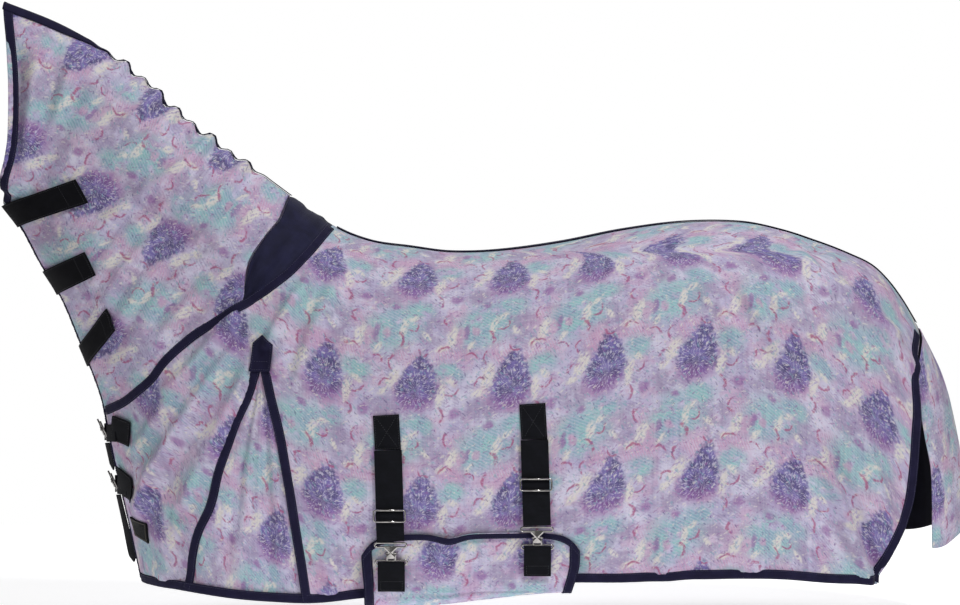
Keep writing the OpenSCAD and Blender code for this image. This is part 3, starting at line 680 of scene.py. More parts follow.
    # loose cream brush marks, broken by their bristles, and magenta curls between them
    cream = blobs(CREAM_MARKS)
    bristle = s.stripes(s.vector("DOT_PRODUCT", bent, (0.80, -0.60, 0), out=1), 0.0068)
    cream = times(cream, s.step(s.math("MULTIPLY_ADD", bristle, 0.16, fine), 0.42, 0.58))
    colour = s.mix(times(cream, 0.90), colour, CREAM)
    flank = times(blobs(FLANK_MARKS),
                  s.step(fine, 0.28, 0.45))
    colour = s.mix(times(flank, 0.7), colour, PINK)
    lines = arcs(CURL_ARCS)
    lines = times(lines, s.step(fine, 0.34, 0.50))
    colour = s.mix(times(lines, 0.80), colour, MAGENTA)

    # small plum, teal and white touches between the larger shapes
    slant = s.node("ShaderNodeVectorRotate", {"Vector": flat, "Angle": radians(58)},
                   rotation_type="Z_AXIS")
    touch = s.noise(s.scaled(slant, 210, 80), 1, 1)
    colour = s.mix(times(s.step(touch, 0.63, 0.70), 0.55), colour, BLOOM)
    colour = s.mix(times(s.step(touch, 0.36, 0.30), 0.60), colour, CREAM)
    slant_b = s.node("ShaderNodeVectorRotate", {"Vector": flat, "Angle": radians(-40)},
                     rotation_type="Z_AXIS")
    touch_b = s.noise(s.scaled(slant_b, 190, 70), 1, 1)
    colour = s.mix(times(s.step(touch_b, 0.62, 0.70), 0.55), colour, TEAL)
    colour = s.mix(times(s.step(touch_b, 0.34, 0.28), 0.50), colour, DEEP)

    # loose specks and the open weave of the mesh
    flecks = s.noise(flat, 260, 2)
    colour = s.mix(times(s.step(flecks, 0.64, 0.74), 0.40), colour, VIOLET)
    colour = s.mix(times(s.step(flecks, 0.38, 0.28), 0.40), colour, CREAM)
    along, down = s.axis(flat, 0), s.axis(flat, 1)
    slub = s.noise(s.scaled(flat, 240, 9), 1, 2)
    slub_b = s.noise(s.scaled(flat, 9, 240), 1, 2)
    yarn = s.math("ADD", slub, slub_b)
    colour = s.mix(times(s.step(yarn, 0.85, 1.25), 0.16), colour, PALE)
    colour = s.mix(times(s.step(yarn, 1.0, 0.72), 0.26), colour, MAUVE)
    net = times(s.stripes(along, 0.0016), s.stripes(down, 0.0016))
    colour = s.mix(times(net, 0.14), colour, INK)
    weave = s.math("MULTIPLY_ADD", yarn, 0.5, net)
    crinkle = s.noise(flat, 60, 3, 0.6)
    normal = s.bump(crinkle, 0.35, 0.004)
    return s.finish(colour, None, s.bump(weave, 0.35, 0.0004, normal))


def tape(name, colour, pale, pitch=0.0018, roughness=0.7, sheen=0.3, ribs_across=True):
    """Woven tape or webbing: cross ribs, fine warp, a little lint and fading."""
    s = Shader(name, Roughness=roughness, Sheen_Weight=sheen, Sheen_Roughness=0.45,
               Specular_IOR_Level=0.12)
    flat = s.uv()
    along, across = s.axis(flat, 0), s.axis(flat, 1)
    rib = s.stripes(along if ribs_across else across, pitch)
    warp = s.stripes(across if ribs_across else along, pitch * 0.6)
    cloud = s.noise(flat, 40, 3, 0.6)
    lint = s.step(s.noise(s.scaled(flat, 900, 500), 1, 2), 0.62, 0.75)
    shade = s.mix(s.math("MULTIPLY", s.step(cloud, 0.35, 0.7), 0.5), colour, pale)
    shade = s.mix(s.math("MULTIPLY", rib, 0.25), shade, pale)
    shade = s.mix(s.math("MULTIPLY", lint, 0.25), shade, pale)
    height = s.math("MULTIPLY_ADD", warp, 0.35, rib)
    return s.finish(shade, None, s.bump(height, 0.6, 0.0005))


def stretch_cloth():
    s = Shader("stretch_cloth", Roughness=0.75, Sheen_Weight=0.03, Sheen_Roughness=0.4,
               Specular_IOR_Level=0.15)
    flat = s.uv()
    along, across = s.axis(flat, 0), s.axis(flat, 1)
    knit = s.math("MULTIPLY", s.stripes(along, 0.0012), s.stripes(across, 0.0018))
    cloud = s.noise(flat, 24, 3, 0.6)
    shade = s.mix(s.step(cloud, 0.35, 0.7), srgb(22, 22, 44), srgb(30, 30, 58))
    shade = s.mix(s.math("MULTIPLY", knit, 0.2), shade, srgb(46, 48, 76))
    gather = s.noise(s.scaled(flat, 12, 90), 1, 2)
    normal = s.bump(gather, 0.12, 0.002)
    return s.finish(shade, None, s.bump(knit, 0.4, 0.0004, normal))


def thread(name, colour):
    s = Shader(name, Roughness=0.55, Sheen_Weight=0.2, Sheen_Roughness=0.4)
    twist = s.noise(s.scaled(s.place(), 1400, 1400, 1400), 1, 1)
    dark = tuple(0.55 * c for c in colour[:3]) + (1,)
    return s.finish(s.mix(twist, dark, colour), None, s.bump(twist, 0.3, 0.0003))


def bright_metal():
    s = Shader("bright_metal", Metallic=1.0, Roughness=0.16)
    where = s.place()
    cloud = s.noise(where, 60, 3, 0.6)
    scratch = s.noise(s.scaled(where, 2400, 300, 300), 1, 2)
    shade = s.mix(s.step(cloud, 0.4, 0.75), srgb(172, 169, 166), srgb(128, 125, 124))
    rough = s.node("ShaderNodeMapRange", {0: cloud, 1: 0.3, 2: 0.75, 3: 0.10, 4: 0.26})
    return s.finish(shade, rough, s.bump(scratch, 0.08, 0.0002))


PRINT = printed_mesh()
NAVY = tape("navy_binding", srgb(25, 23, 46), srgb(37, 34, 64), 0.0014, 0.85, 0.02)
BLACK = tape("black_webbing", srgb(9, 10, 15), srgb(20, 21, 28), 0.0026, 0.8, 0.02)
TAB = tape("neck_tab_cloth", srgb(7, 7, 11), srgb(16, 16, 22), 0.0016, 0.85, 0.02)
# black of the tail flap's inner sheet: partly its own lining colour, partly painted shade of the
# dark hollow behind the flap
LINING_AND_PAINTED_SHADE = tape("black_lining", srgb(8, 8, 16), srgb(18, 18, 30), 0.0022, 0.85, 0.03)
LABEL = tape("woven_label", srgb(8, 8, 10), srgb(22, 22, 26), 0.0008, 0.6, 0.02)
STRETCH = stretch_cloth()
CHROME = bright_metal()
NAVY_THREAD = thread("navy_thread", srgb(58, 58, 88))
BLACK_THREAD = thread("black_thread", srgb(40, 40, 48))
PALE_THREAD = thread("pale_thread", srgb(120, 112, 100))

# ---------------------------------------------------------------- cloth panels

BODY_ROWS, SHOULDER_COLS, MAIN_COLS = 130, 60, 250
TIP_ROW = 6 / 16          # share of the CAD's rows above the slit


def row_v(rows):
    return 1 - np.cos(pi / 2 * np.linspace(0, 1, rows + 1))


V_TIP = 1 - cos(pi / 2 * TIP_ROW)


def slit(leg, v):
    """The slit's edge at the row shares v: closed above its tip."""
    r = np.arccos(1 - v) / (pi / 2)
    above = spline(SLIT_TOP, np.clip(r / TIP_ROW, 0, 1))
    below = spline(leg, np.clip((v - V_TIP) / (1 - V_TIP), 0, 1))
    return np.where((v <= V_TIP)[:, None], above, below)


def coons(top, bottom, left, right, u, v):
    """Grid (v, u) of side-view points between four edges."""
    u, v = u[None, :, None], v[:, None, None]
    corners = mix(mix(top[0], top[-1], u), mix(bottom[0], bottom[-1], u), v)
    return mix(left[:, None], right[:, None], u) + mix(top[None], bottom[None], v) - corners


def shoulder_grid():
    v = row_v(BODY_ROWS)
    u = np.linspace(0, 1, SHOULDER_COLS + 1)
    seam = MIDDLE_SEAM + LOWER_SEAM[1:]
    x = mix(HEM[0][0], LEFT_LEG[6][0], u)
    z = mix(FRONT[3][0], HEM[0][1], v)
    return coons(spline(seam, 1 - u), np.stack([x, hem(x)], -1),
                 np.stack([front_edge(z), z], -1), slit(LEFT_LEG, v), u, v)


def main_grid():
    v = row_v(BODY_ROWS)
    u = np.linspace(0, 1, MAIN_COLS + 1)
    seam_share = 3 / 25
    front = u < seam_share
    x = mix(0, REAR_EDGE[0][0], (u - seam_share) / (1 - seam_share))
    back = np.stack([x, topline(x)], -1)
    top = np.where(front[:, None], spline(UPPER_SEAM, 1 - u / seam_share), back)
    x = np.where(front, mix(RIGHT_LEG[6][0], 60, u / seam_share),
                 mix(60, REAR_EDGE[7][0], (u - seam_share) / (1 - seam_share)))
    return coons(top, np.stack([x, hem(x)], -1), slit(RIGHT_LEG, v), spline(REAR_EDGE, v), u, v)


PRINT_START = np.array([0.073, 0.062])        # where the print's repeat begins on the body


def add_side_grid(builder, grid, side, turn=0.0, out=0.0, mat=0):
    x, z = grid[..., 0], grid[..., 1]
    uv = cloth_coordinates(x, z) - PRINT_START
    if side == OFF:
        uv = uv + np.array([0.061, 0.047])
    if turn:
        c, s = cos(radians(turn)), sin(radians(turn))
        uv = np.stack([c * x + s * z, -s * x + c * z], -1) * MM * 1.03 - NECK_START
        if side == OFF:
            uv = uv + np.array([0.05, 0.09])
    builder.grid(surface(x, z, side, out), uv, flip=side == NEAR, mat=mat)


def body_panel(side, name):
    b = Builder()
    add_side_grid(b, shoulder_grid(), side)
    add_side_grid(b, main_grid(), side)
    obj = b.build(name, [PRINT], weld=0.00002)
    thicken(obj, 1.5)
    settle(obj, "root", "printed_mesh", name.replace("cloth_", ""))
    return obj


NECK_END = STRETCH_EDGE + LOWER_SEAM[1:]
NECK_TURN = 146            # the neck's cloth is cut turned round
NECK_START = np.array([0.074, -0.012])


def neck_grid(rows=150, cols=130):
    u = 0.988 * np.linspace(0, 1, cols + 1)
    v = (1 - np.cos(pi * np.linspace(0, 1, rows + 1))) / 2
    x = mix(HEAD_EDGE[0][0], NECK_END[0][0], u)
    z = mix(HEAD_EDGE[5][1], FRONT[3][0], u)
    top = np.stack([x, topline(x)], -1)
    bottom = np.stack([front_edge(z), z], -1)
    left, right = spline(HEAD_EDGE, v), spline(NECK_END, v)
    full_top = [np.array(HEAD_EDGE[0], float), np.array([NECK_END[0][0], topline(NECK_END[0][0])])]
    full_bottom = [np.array([front_edge(HEAD_EDGE[5][1]), HEAD_EDGE[5][1]]),
                   np.array(NECK_END[-1], float)]
    u, v = u[None, :, None], v[:, None, None]
    corners = mix(mix(full_top[0], full_top[1], u), mix(full_bottom[0], full_bottom[1], u), v)
    return mix(left[:, None], right[:, None], u) + mix(top[None], bottom[None], v) - corners


def neck_panel(side, name):
    b = Builder()
    add_side_grid(b, neck_grid(), side, NECK_TURN)
    obj = thicken(b.build(name, [PRINT]), 1.5)
    settle(obj, "root", "printed_mesh", name.replace("cloth_", ""))
    return obj


def gusset(side, name):
    """The mesh insert, gathered into upright pleats that open towards the hem."""
    b = Builder()
    v = mix(V_TIP, 1, np.linspace(0.01, 1, 90))
    u = np.linspace(0.01, 0.99, 60)
    left, right = slit(LEFT_LEG, v), slit(RIGHT_LEG, v)
    grid = mix(left[:, None], right[:, None], u[None, :, None])
    depth = smooth((v - V_TIP) / (1 - V_TIP) * 1.6)[:, None]
    near_hem = smooth((v - 0.86) / 0.11)[:, None]
    pleat = depth * (5.5 * np.sin(2 * pi * (2.4 * u[None, :] + 0.15 * v[:, None]))
                     + 2.4 * np.sin(2 * pi * (5.1 * u[None, :] + 0.2))) * np.sin(pi * u[None, :])
    pleat = pleat * (1 - near_hem) - 2.5 * near_hem
    x, z = grid[..., 0], grid[..., 1]
    p = surface(x, z, side, 0.0) + normal(x, z, side) * (pleat - 1.5)[..., None]
    b.grid(p, cloth_coordinates(x, z) * np.array([1.25, 1.0]) + 0.07, flip=side == NEAR)
    obj = thicken(b.build(name, [PRINT]), 1.2)
    settle(obj, "root", "printed_mesh", name.replace("cloth_", ""))
    return obj


SIDES = ((NEAR, "near"), (OFF, "off"))
for make_panel, part in ((body_panel, "body_panel"), (neck_panel, "neck_panel"),
                         (gusset, "shoulder_gusset")):
    for panel_side, side_word in SIDES:
        make_panel(panel_side, "cloth_%s_%s" % (side_word, part))


def stretch_panel():
    """Elastic panel over the withers: gathers run from side to side."""
    b = Builder()
    seam = UPPER_SEAM + MIDDLE_SEAM[1:]
    rows, cols = 180, 44
    k = np.linspace(-1, 1, rows + 1)
    vs = np.sin(pi / 2 * np.abs(k)) ** 2 * 0.95
    us = np.linspace(-0.05, 1.07, cols + 1)
    grid = mix(spline(STRETCH_EDGE, vs)[:, None], spline(seam, vs)[:, None], us[None, :, None])
    x = grid[..., 0]
    z = np.minimum(grid[..., 1], topline(x) - 0.2)
    gather = (1.6 * np.sin(us[None, :] * 2 * pi * 1.8 + 2.2 * np.sin(6 * vs)[:, None])
              + 0.5 * np.sin(us[None, :] * 2 * pi * 4.3 + 1.0 + 3 * vs[:, None]))
    p = surface(x, z, NEAR, 0.8) + normal(x, z) * gather[..., None]
    p[..., 1] = np.where(k[:, None] < 0, p[..., 1], -p[..., 1])
    run = np.cumsum(np.concatenate([[0], np.linalg.norm(np.diff(p[:, 0], axis=0), axis=1)]))
    uv = np.stack(np.broadcast_arrays(us[None, :] * 0.09, run[:, None] * MM), -1)
    b.grid(p, uv, flip=False)
    obj = thicken(b.build("stretch_panel_cloth", [STRETCH]), 1.6)
    settle(obj, "root", "stretch_cloth", "withers_stretch_panel")
    return obj


stretch_panel()

# ---------------------------------------------------------------- bindings


def path_points(path, step=4.0):
    """A side-view path resampled evenly."""
    p = np.asarray(path, float)
    run = lengths_along(p)
    at = np.linspace(0, run[-1], max(int(run[-1] / step), 2))
    return np.stack([np.interp(at, run, p[:, k]) for k in range(2)], -1)


def add_binding(b, path, side, width=BINDING_W, low=-2.4, high=2.1):
    q = path_points(path)
    n = normal(q[:, 0], q[:, 1], side)
    pucker = 0.25 * np.sin(np.arange(len(q)) * 1.9) + 0.2 * np.sin(np.arange(len(q)) * 0.83)
    p = surface(q[:, 0], q[:, 1], side) + n * pucker[:, None]
    sweep(b, p, n, rounded_profile(width, low, high, 1.0))
    _, s = frames_along(p, n)
    for k in (-1, 1):
        stitches(b, p + s * k * (width / 2 - 2.2) + n * (high + 0.05), n, 1)


def binding(name, paths, *nodes, side=NEAR, body="root"):
    b = Builder()
    for path in paths:
        add_binding(b, path, side)
    obj = b.build(name, [NAVY, NAVY_THREAD])
    return settle(obj, body, "navy_binding", *nodes)


def side_bindings(side, word):
    s = np.linspace(0, 1, 80)
    x = np.linspace(-379, 1058, 300)
    binding(word + "_hem_tape", [np.stack([x, hem(x) + BINDING_W / 2], -1)],
            word + "_hem_binding", side=side)
    binding(word + "_rear_tape", [spline(REAR_EDGE, mix(0.03, 0.97, s)) - [BINDING_W / 2, 0]],
            word + "_rear_binding", side=side)
    seam = UPPER_SEAM + MIDDLE_SEAM[1:2] + LOWER_SEAM
    binding(word + "_seam_tape", [spline(seam, mix(0.02, 0.985, s))],
            word + "_neck_seam_binding", side=side)
    binding(word + "_head_tape", [spline(HEAD_EDGE, mix(0.985, 0.012, s)) + [BINDING_W / 2, 0]],
            word + "_head_binding", side=side)
    z = np.linspace(-700, 36, 160)
    binding(word + "_front_tape", [np.stack([front_edge(z) + 1.2, z], -1)],
            word + "_front_binding", side=side)
    binding(word + "_gusset_tape",
            [spline(leg, mix(0.05, 0.985, s)) for leg in (LEFT_LEG, RIGHT_LEG)],
            word + "_gusset_binding", side=side)


for panel_side, side_word in SIDES:
    side_bindings(panel_side, side_word)


def centre_tape(name, x0, x1, drop_at, node):
    """Tape folded over the centre seam; drop_at gives its depth down each side."""
    b = Builder()
    x = np.linspace(x0, x1, max(int((x1 - x0) / 5), 8))
    depth = drop_at(x)
    n_across = 7
    rows = []
    for k in range(-n_across, n_across + 1):
        dz = depth * (abs(k) / n_across) ** 2
        side = NEAR if k < 0 else OFF
        z = topline(x) - dz
        p = surface(x, z, side, 1.8)
        if k == 0:
            p = np.stack([x, np.zeros_like(x), topline(x) + folds(x, z, NEAR) + 1.8], -1)
        rows.append(p)
    grid = np.stack(rows)
    run = lengths_along(grid[n_across]) * MM
    uv = np.stack(np.broadcast_arrays(run[None, :], np.linspace(0, 0.02, len(rows))[:, None]), -1)
    b.grid(grid, uv, flip=True)
    for row in (1, 2 * n_across - 1):
        nn = unit(np.cross(np.gradient(grid[row], axis=0), grid[row + 1] - grid[row - 1]))
        nn = nn * np.sign(nn[:, 2:] + 1e-9)
        stitches(b, grid[row] + nn * 0.3, nn, 1)
    obj = b.build(name, [NAVY, NAVY_THREAD])
    thicken(obj, 1.0)
    return settle(obj, "root", "navy_binding", node)


SPINE_DROP = 1.5                     # how far the back's tape reaches down each side
CREST_DROP, POLL_DROP = 0.7, 15      # the crest's tape, and what it gains towards the poll


def crest_drop(x):
    return CREST_DROP + POLL_DROP * smooth((-430 - x) / 120)


centre_tape("spine_tape", 8, 1163, lambda x: np.full_like(x, SPINE_DROP), "spine_binding")
centre_tape("crest_tape", -655, -84, crest_drop, "crest_binding")


def patch_grid(a, b, c, d, nu=16, nv=16, peak=(0, 0)):
    """Four-cornered patch of side-view points; peak lifts the middle of its first edge."""
    u, v = np.linspace(0, 1, nu + 1)[None, :, None], np.linspace(0, 1, nv + 1)[:, None, None]
    a, b, c, d = (np.array(p, float) for p in (a, b, c, d))
    return (mix(mix(a, b, u), mix(d, c, u), v)
            + np.array(peak) * (1 - np.abs(2 * u - 1)) * (1 - v))


def add_patch(b, grid, side, low, high, turn=False):
    """A flat piece sewn on the cloth, closed all round."""
    x, z = grid[..., 0], grid[..., 1]
    top, bottom = surface(x, z, side, high), surface(x, z, side, low)
    m, n = x.shape
    run_u = np.linalg.norm(grid[0, -1] - grid[0, 0]) * MM
    run_v = np.linalg.norm(grid[-1, 0] - grid[0, 0]) * MM
    uu, vv = np.meshgrid(np.linspace(0, run_u, n), np.linspace(0, run_v, m))
    uv = np.stack([vv, uu] if turn else [uu, vv], -1)
    near = side == NEAR
    b.grid(top, uv, flip=near)
    b.grid(bottom, uv, flip=not near)
    edges = [((0, slice(None)), False), ((-1, slice(None)), True),
             ((slice(None), 0), True), ((slice(None), -1), False)]
    for index, order in edges:
        strip = np.stack([top[index], bottom[index]])
        b.grid(strip, np.stack([uv[index]] * 2), flip=order == near)


def inset_outline(grid, share_u, share_v):
    """Side-view outline inside a patch grid, as one closed path."""
    m, n = grid.shape[:2]
    i, j = max(int(share_v * m), 1), max(int(share_u * n), 1)
    top, bottom = grid[i, j:n - j], grid[m - 1 - i, j:n - j]
    left, right = grid[i:m - i, j], grid[i:m - i, n - 1 - j]
    return np.concatenate([top, right[1:], bottom[::-1][1:], left[::-1][1:]])


def sew(b, path, side, height, mat=1, pitch=4.6):
    q = path_points(path, 3.0)
    n = normal(q[:, 0], q[:, 1], side)
    stitches(b, surface(q[:, 0], q[:, 1], side, height), n, mat, pitch)


TAB_LOW = 3.9


def gusset_tip(side, name):
    b = Builder()
    grid = patch_grid((-143, -225), (-102, -229), (-109, -280), (-150, -280), 14, 18, (-1, 17))
    add_patch(b, grid, side, 1.5, TAB_LOW + 1.2)
    sew(b, inset_outline(grid, 0.10, 0.09), side, TAB_LOW + 1.25)
    sew(b, np.array([grid[12, 2], grid[12, -3]]), side, TAB_LOW + 1.25)
    obj = b.build(name + "_tab", [NAVY, NAVY_THREAD])
    return settle(obj, "root", "navy_binding", name)


gusset_tip(NEAR, "near_gusset_tip")
gusset_tip(OFF, "off_gusset_tip")


def label():
    b = Builder()
    grid = patch_grid((-395, -573), (-362, -583), (-356, -621), (-385, -609), 12, 14)
    add_patch(b, grid, NEAR, 1.0, TAB_LOW + 0.6)
    sew(b, inset_outline(grid, 0.08, 0.08), NEAR, TAB_LOW + 0.65, 1, 1.9)
    obj = b.build("chest_label", [LABEL, PALE_THREAD])
    return settle(obj, "root", "woven_label", "woven_label")


label()

# ---------------------------------------------------------------- neck tabs

TAB_ENDS = [
    [(-500, 92), (-474, 46), 42, 0],
    [(-479, -51), (-455, -96), -89, -136],
    [(-434, -160), (-416, -202), -237, -278]]
TAB_NAMES = ["upper", "middle", "lower"]


def throat(z):
    return (float(front_edge(z)) + 1, z)


def neck_tab(i):
    upper, lower, z0, z1 = TAB_ENDS[i]
    b = Builder()
    grid = patch_grid(throat(z0), upper, lower, throat(z1), 50, 16)
    add_patch(b, grid, NEAR, TAB_LOW - 0.3, TAB_LOW + 2.7)
    sew(b, inset_outline(grid, 0.045, 0.10), NEAR, TAB_LOW + 2.75)
    sew(b, np.array([grid[1, 38], grid[-2, 38]]), NEAR, TAB_LOW + 2.75)
    obj = b.build(TAB_NAMES[i] + "_tab_cloth", [TAB, BLACK_THREAD])
    return settle(obj, TAB_NAMES[i] + "_tab", "black_webbing", TAB_NAMES[i] + "_neck_tab")


def tab_bases():
    b = Builder()
    for upper, lower, z0, z1 in TAB_ENDS:
        a, d = throat(z0), throat(z1)
        grid = patch_grid(a, mix(np.array(a), np.array(upper), 0.5),
                          mix(np.array(d), np.array(lower), 0.5), d, 24, 14)
        add_patch(b, grid, OFF, TAB_LOW - 0.3, TAB_LOW + 2.7)
        sew(b, inset_outline(grid, 0.09, 0.10), OFF, TAB_LOW + 2.75)
    obj = b.build("neck_tab_base_cloth", [TAB, BLACK_THREAD])
    return settle(obj, "root", "black_webbing", "neck_tab_bases")


for tab in range(3):
    neck_tab(tab)
tab_bases()

# ---------------------------------------------------------------- metal parts


def wire(b, points, radius, closed=False, sides=12, mat=0):
    """A round wire through points, in millimetres."""
    p = np.asarray(points, float)
    if closed:
        t = unit(np.roll(p, -1, 0) - np.roll(p, 1, 0))
    else:
        t = unit(np.concatenate([p[1:], p[-1:]]) - np.concatenate([p[:1], p[:-1]]))
    ref = np.array([0.0, 1.0, 0.0]) if np.abs(t[:, 1]).max() < 0.95 else np.array([1.0, 0, 0])
    s = unit(np.cross(t, ref))
    n = np.cross(s, t)
    a = np.linspace(0, 2 * pi, sides, endpoint=False)
    rings = (p[:, None] + radius * (s[:, None] * np.cos(a)[None, :, None]
                                    + n[:, None] * np.sin(a)[None, :, None]))
    b.tube(rings, closed=closed, mat=mat)


def rounded_loop(centre, w, h, corner, steps=6):
    """Closed rounded rectangle in the XZ plane."""
    out = []
    for sx, sz, start in ((1, 1, 0), (-1, 1, 90), (-1, -1, 180), (1, -1, 270)):
        for k in range(steps + 1):
            a = radians(start + 90 * k / steps)
            out.append((centre[0] + sx * (w / 2 - corner) + corner * cos(a), centre[1],
                        centre[2] + sz * (h / 2 - corner) + corner * sin(a)))
    return np.array(out)


# ---------------------------------------------------------------- surcingle straps

STRAP_Y, CATCH_OUT = -274.5, 9
BUCKLE_W, WIRE_R, TAB_LEN, WEBBING_T = 60, 2.2, 52, 2


class Strap:
    """Where one surcingle's parts lie: x, and the height of each of them."""

    def __init__(self, x, top, stitch, slider, hook_bar, catch_bar):
        self.x, self.top, self.stitch, self.slider = x, top, stitch, slider
        self.hook_bar, self.catch_bar = hook_bar, catch_bar


SWAY = 5             # the straps hang slightly towards the rear
STRAPS = {"front": Strap(118, -362, -427, -553, -608, -645),
          "rear": Strap(398, -340, -407, -493, -578, -615)}


def strap_anchor(word):
    strap = STRAPS[word]
    x, top = strap.x, strap.top
    b = Builder()
    w = WEBBING_W / 2
    grid = patch_grid((x - w - 4, top), (x + w - 4, top + 3),
                      (x + w, strap.stitch), (x - w, strap.stitch), 16, 26)
    add_patch(b, grid, NEAR, 0.6, 3.2, turn=True)
    sew(b, inset_outline(grid, 0.09, 0.05), NEAR, 3.25)
    sew(b, np.array([grid[2, 2], grid[-3, -3]]), NEAR, 3.25)
    sew(b, np.array([grid[2, -3], grid[-3, 2]]), NEAR, 3.25)
    obj = b.build(word + "_anchor_webbing", [BLACK, BLACK_THREAD])
    return settle(obj, "root", "black_webbing", word + "_strap_anchor")


def hanging_band(b, x, z_top, z_bottom, y, thickness=2.0, mat=0, bow=0.0, sway=SWAY):
    """A straight hanging length of webbing, with a slight bow out of its plane."""
    n = 24
    z = np.linspace(z_top, z_bottom, n)
    share = np.linspace(0, 1, n)
    p = np.stack([x + sway * share, y - bow * np.sin(pi * share), z], -1)
    sweep(b, p, np.tile([0.0, -1.0, 0.0], (n, 1)),
          rounded_profile(WEBBING_W + 3, -thickness / 2, thickness / 2, 0.7), mat)


def strap_webbing(word):
    """The hanging strap: it runs down, round the hook's bar and back up to the slider."""
    strap = STRAPS[word]
    b = Builder()
    y = STRAP_Y + WEBBING_T / 2
    end_z = strap.hook_bar + 6
    hanging_band(b, strap.x, strap.stitch - 0.5, end_z, y)
    hanging_band(b, strap.x + 2.5, strap.slider + 7, end_z, y - 2.1, 1.8, bow=0.8, sway=2.5)
    obj = b.build(word + "_strap_cloth", [BLACK, BLACK_THREAD])
    return settle(obj, word + "_strap", "black_webbing", word + "_strap_webbing")


def adjuster(word):
    """Slider: two strong bars of bright wire between thin sides."""
    x, z = STRAPS[word].x + 3, STRAPS[word].slider
    b = Builder()
    y = STRAP_Y - WIRE_R - 2.6
    wire(b, rounded_loop((x, y, z), BUCKLE_W, 22, 4.0), WIRE_R * 0.75, closed=True)
    for bar in (z - 11, z + 11):
        wire(b, [(x - 26, y - 0.2, bar), (x + 26, y - 0.2, bar)], WIRE_R * 0.95)
    obj = b.build(word + "_slider", [CHROME])
    return settle(obj, word + "_adjuster", "bright_metal", word + "_strap_adjuster")


def plate(b, outline, y, thickness, bevel=0.7):
    """A stamped plate in the XZ plane with softened edges."""
    o = np.asarray(outline, float)
    centre = o.mean(0)
    rings = []
    for inset, dy in ((bevel, -thickness / 2), (0.25 * bevel, -thickness / 2 + 0.3 * bevel),
                      (0, -thickness / 2 + bevel), (0, thickness / 2 - bevel),
                      (0.25 * bevel, thickness / 2 - 0.3 * bevel), (bevel, thickness / 2)):
        away = unit(o - centre)
        p = o - away * inset
        rings.append(np.stack([p[:, 0], np.full(len(o), y + dy), p[:, 1]], -1))
    b.tube(np.stack(rings))


def t_outline(x, z, bar, neck, foot, tall):
    """Outline of a T-shaped tongue: wide shoulder, narrow neck and a cross foot."""
    half = [(bar / 2, 0), (bar / 2, -5), (bar / 2 - 5, -9), (neck / 2 + 1, -11),
            (neck / 2, -14), (neck / 2, -tall + 5), (foot / 2, -tall + 4),
            (foot / 2 + 1, -tall + 1), (foot / 2 - 1, -tall - 2)]
    return np.array([(x + a, z + c) for a, c in half] + [(x - a, z + c) for a, c in reversed(half)])


def hook(word):
    """Wire loop that holds the strap, with a short tongue and its cross foot."""
    x, z = STRAPS[word].x + SWAY, STRAPS[word].hook_bar
    b = Builder()
    y = STRAP_Y + WEBBING_T / 2
    wire(b, rounded_loop((x, y - 0.5, z - 1), BUCKLE_W, 8, 3.5), WIRE_R * 0.9, closed=True)
    plate(b, t_outline(x, z - 3, 24, 9, 15, 22), y - 2.6, 2.6)
    obj = b.build(word + "_t_hook", [CHROME])
    return settle(obj, word + "_hook", "bright_metal", word + "_strap_hook")


for strap in STRAPS:
    strap_anchor(strap)
    strap_webbing(strap)
    adjuster(strap)
    hook(strap)

# ---------------------------------------------------------------- belly bib

BIB_FRONT_X, BIB_LEN = 68, 416
BIB_ARC = [(-262, -586), (-260, -640), (-256, -695), (-240, -731), (-190, -748),
           (-100, -757), (0, -760)]
BIB_SECTION = BIB_ARC + [(-y, z) for y, z in reversed(BIB_ARC[:-1])]


BIB_TURN_Z = -700         # below this height the bib is shallower towards its rear end


def bib_face(z):
    return mix(BIB_ARC[1][0], BIB_ARC[2][0], (z - BIB_ARC[1][1]) / (BIB_ARC[2][1] - BIB_ARC[1][1]))


def bib_start(u):
    return (0.055 * np.abs(2 * u - 1) ** 8 + 0.016 * np.exp(-((u - 0.4) / 0.07) ** 2)
            + 0.012 * (1 - u))


def bib_point(u, w, d):
    s = mix(bib_start(u), 0.985, w)
    p = spline(BIB_SECTION, s)
    t = spline(BIB_SECTION, np.minimum(s + 0.01, 1)) - spline(BIB_SECTION, np.maximum(s - 0.01, 0))
    n = unit(np.stack([t[..., 1], -t[..., 0]], -1))
    keep = mix(0.86, 0.16, smooth((u - 0.1) / 0.9))
    z = np.where(p[..., 1] < BIB_TURN_Z, mix(BIB_TURN_Z, p[..., 1], keep), p[..., 1])
    # the ends draw in under the belly
    deep = smooth((-z - 640) / 90)
    x = (mix(BIB_FRONT_X, BIB_FRONT_X + BIB_LEN, u)
         - 20 * smooth((u - 0.8) / 0.2) * deep + 5 * smooth((0.15 - u) / 0.15) * smooth(w / 0.12))
    return np.stack([x, p[..., 0] + n[..., 0] * d, z + n[..., 1] * d], -1)


def bib_folds(u, w):
    """Long soft folds along the bib's near edge."""
    near = np.exp(-(w / 0.16))
    sag = np.sin(pi * u)
    fine = 4.2 * np.sin(w * 85 + 1.6 * np.sin(3 * u)) + 2.0 * np.sin(w * 150 + 4 * u)
    return (sag * near * fine + 1.3 * np.sin(w * 19 + 2 * u) * sag) - 1.2


def bib():
    b = Builder()
    w = np.linspace(0, 1, 221) ** 1.35
    u = np.linspace(0, 1, 121)
    uu, ww = np.meshgrid(u, w)
    p = bib_point(uu, ww, bib_folds(uu, ww))
    run = np.cumsum(np.concatenate([[0], np.linalg.norm(np.diff(p[:, 60], axis=0), axis=1)]))
    uv = np.stack(np.broadcast_arrays(u[None, :] * BIB_LEN * MM, -run[:, None] * MM), -1)
    b.grid(p, uv + 0.03, flip=True)
    obj = thicken(b.build("bib_cloth", [PRINT]), 2.4)
    settle(obj, "bib", "printed_mesh", "belly_bib")
    return obj


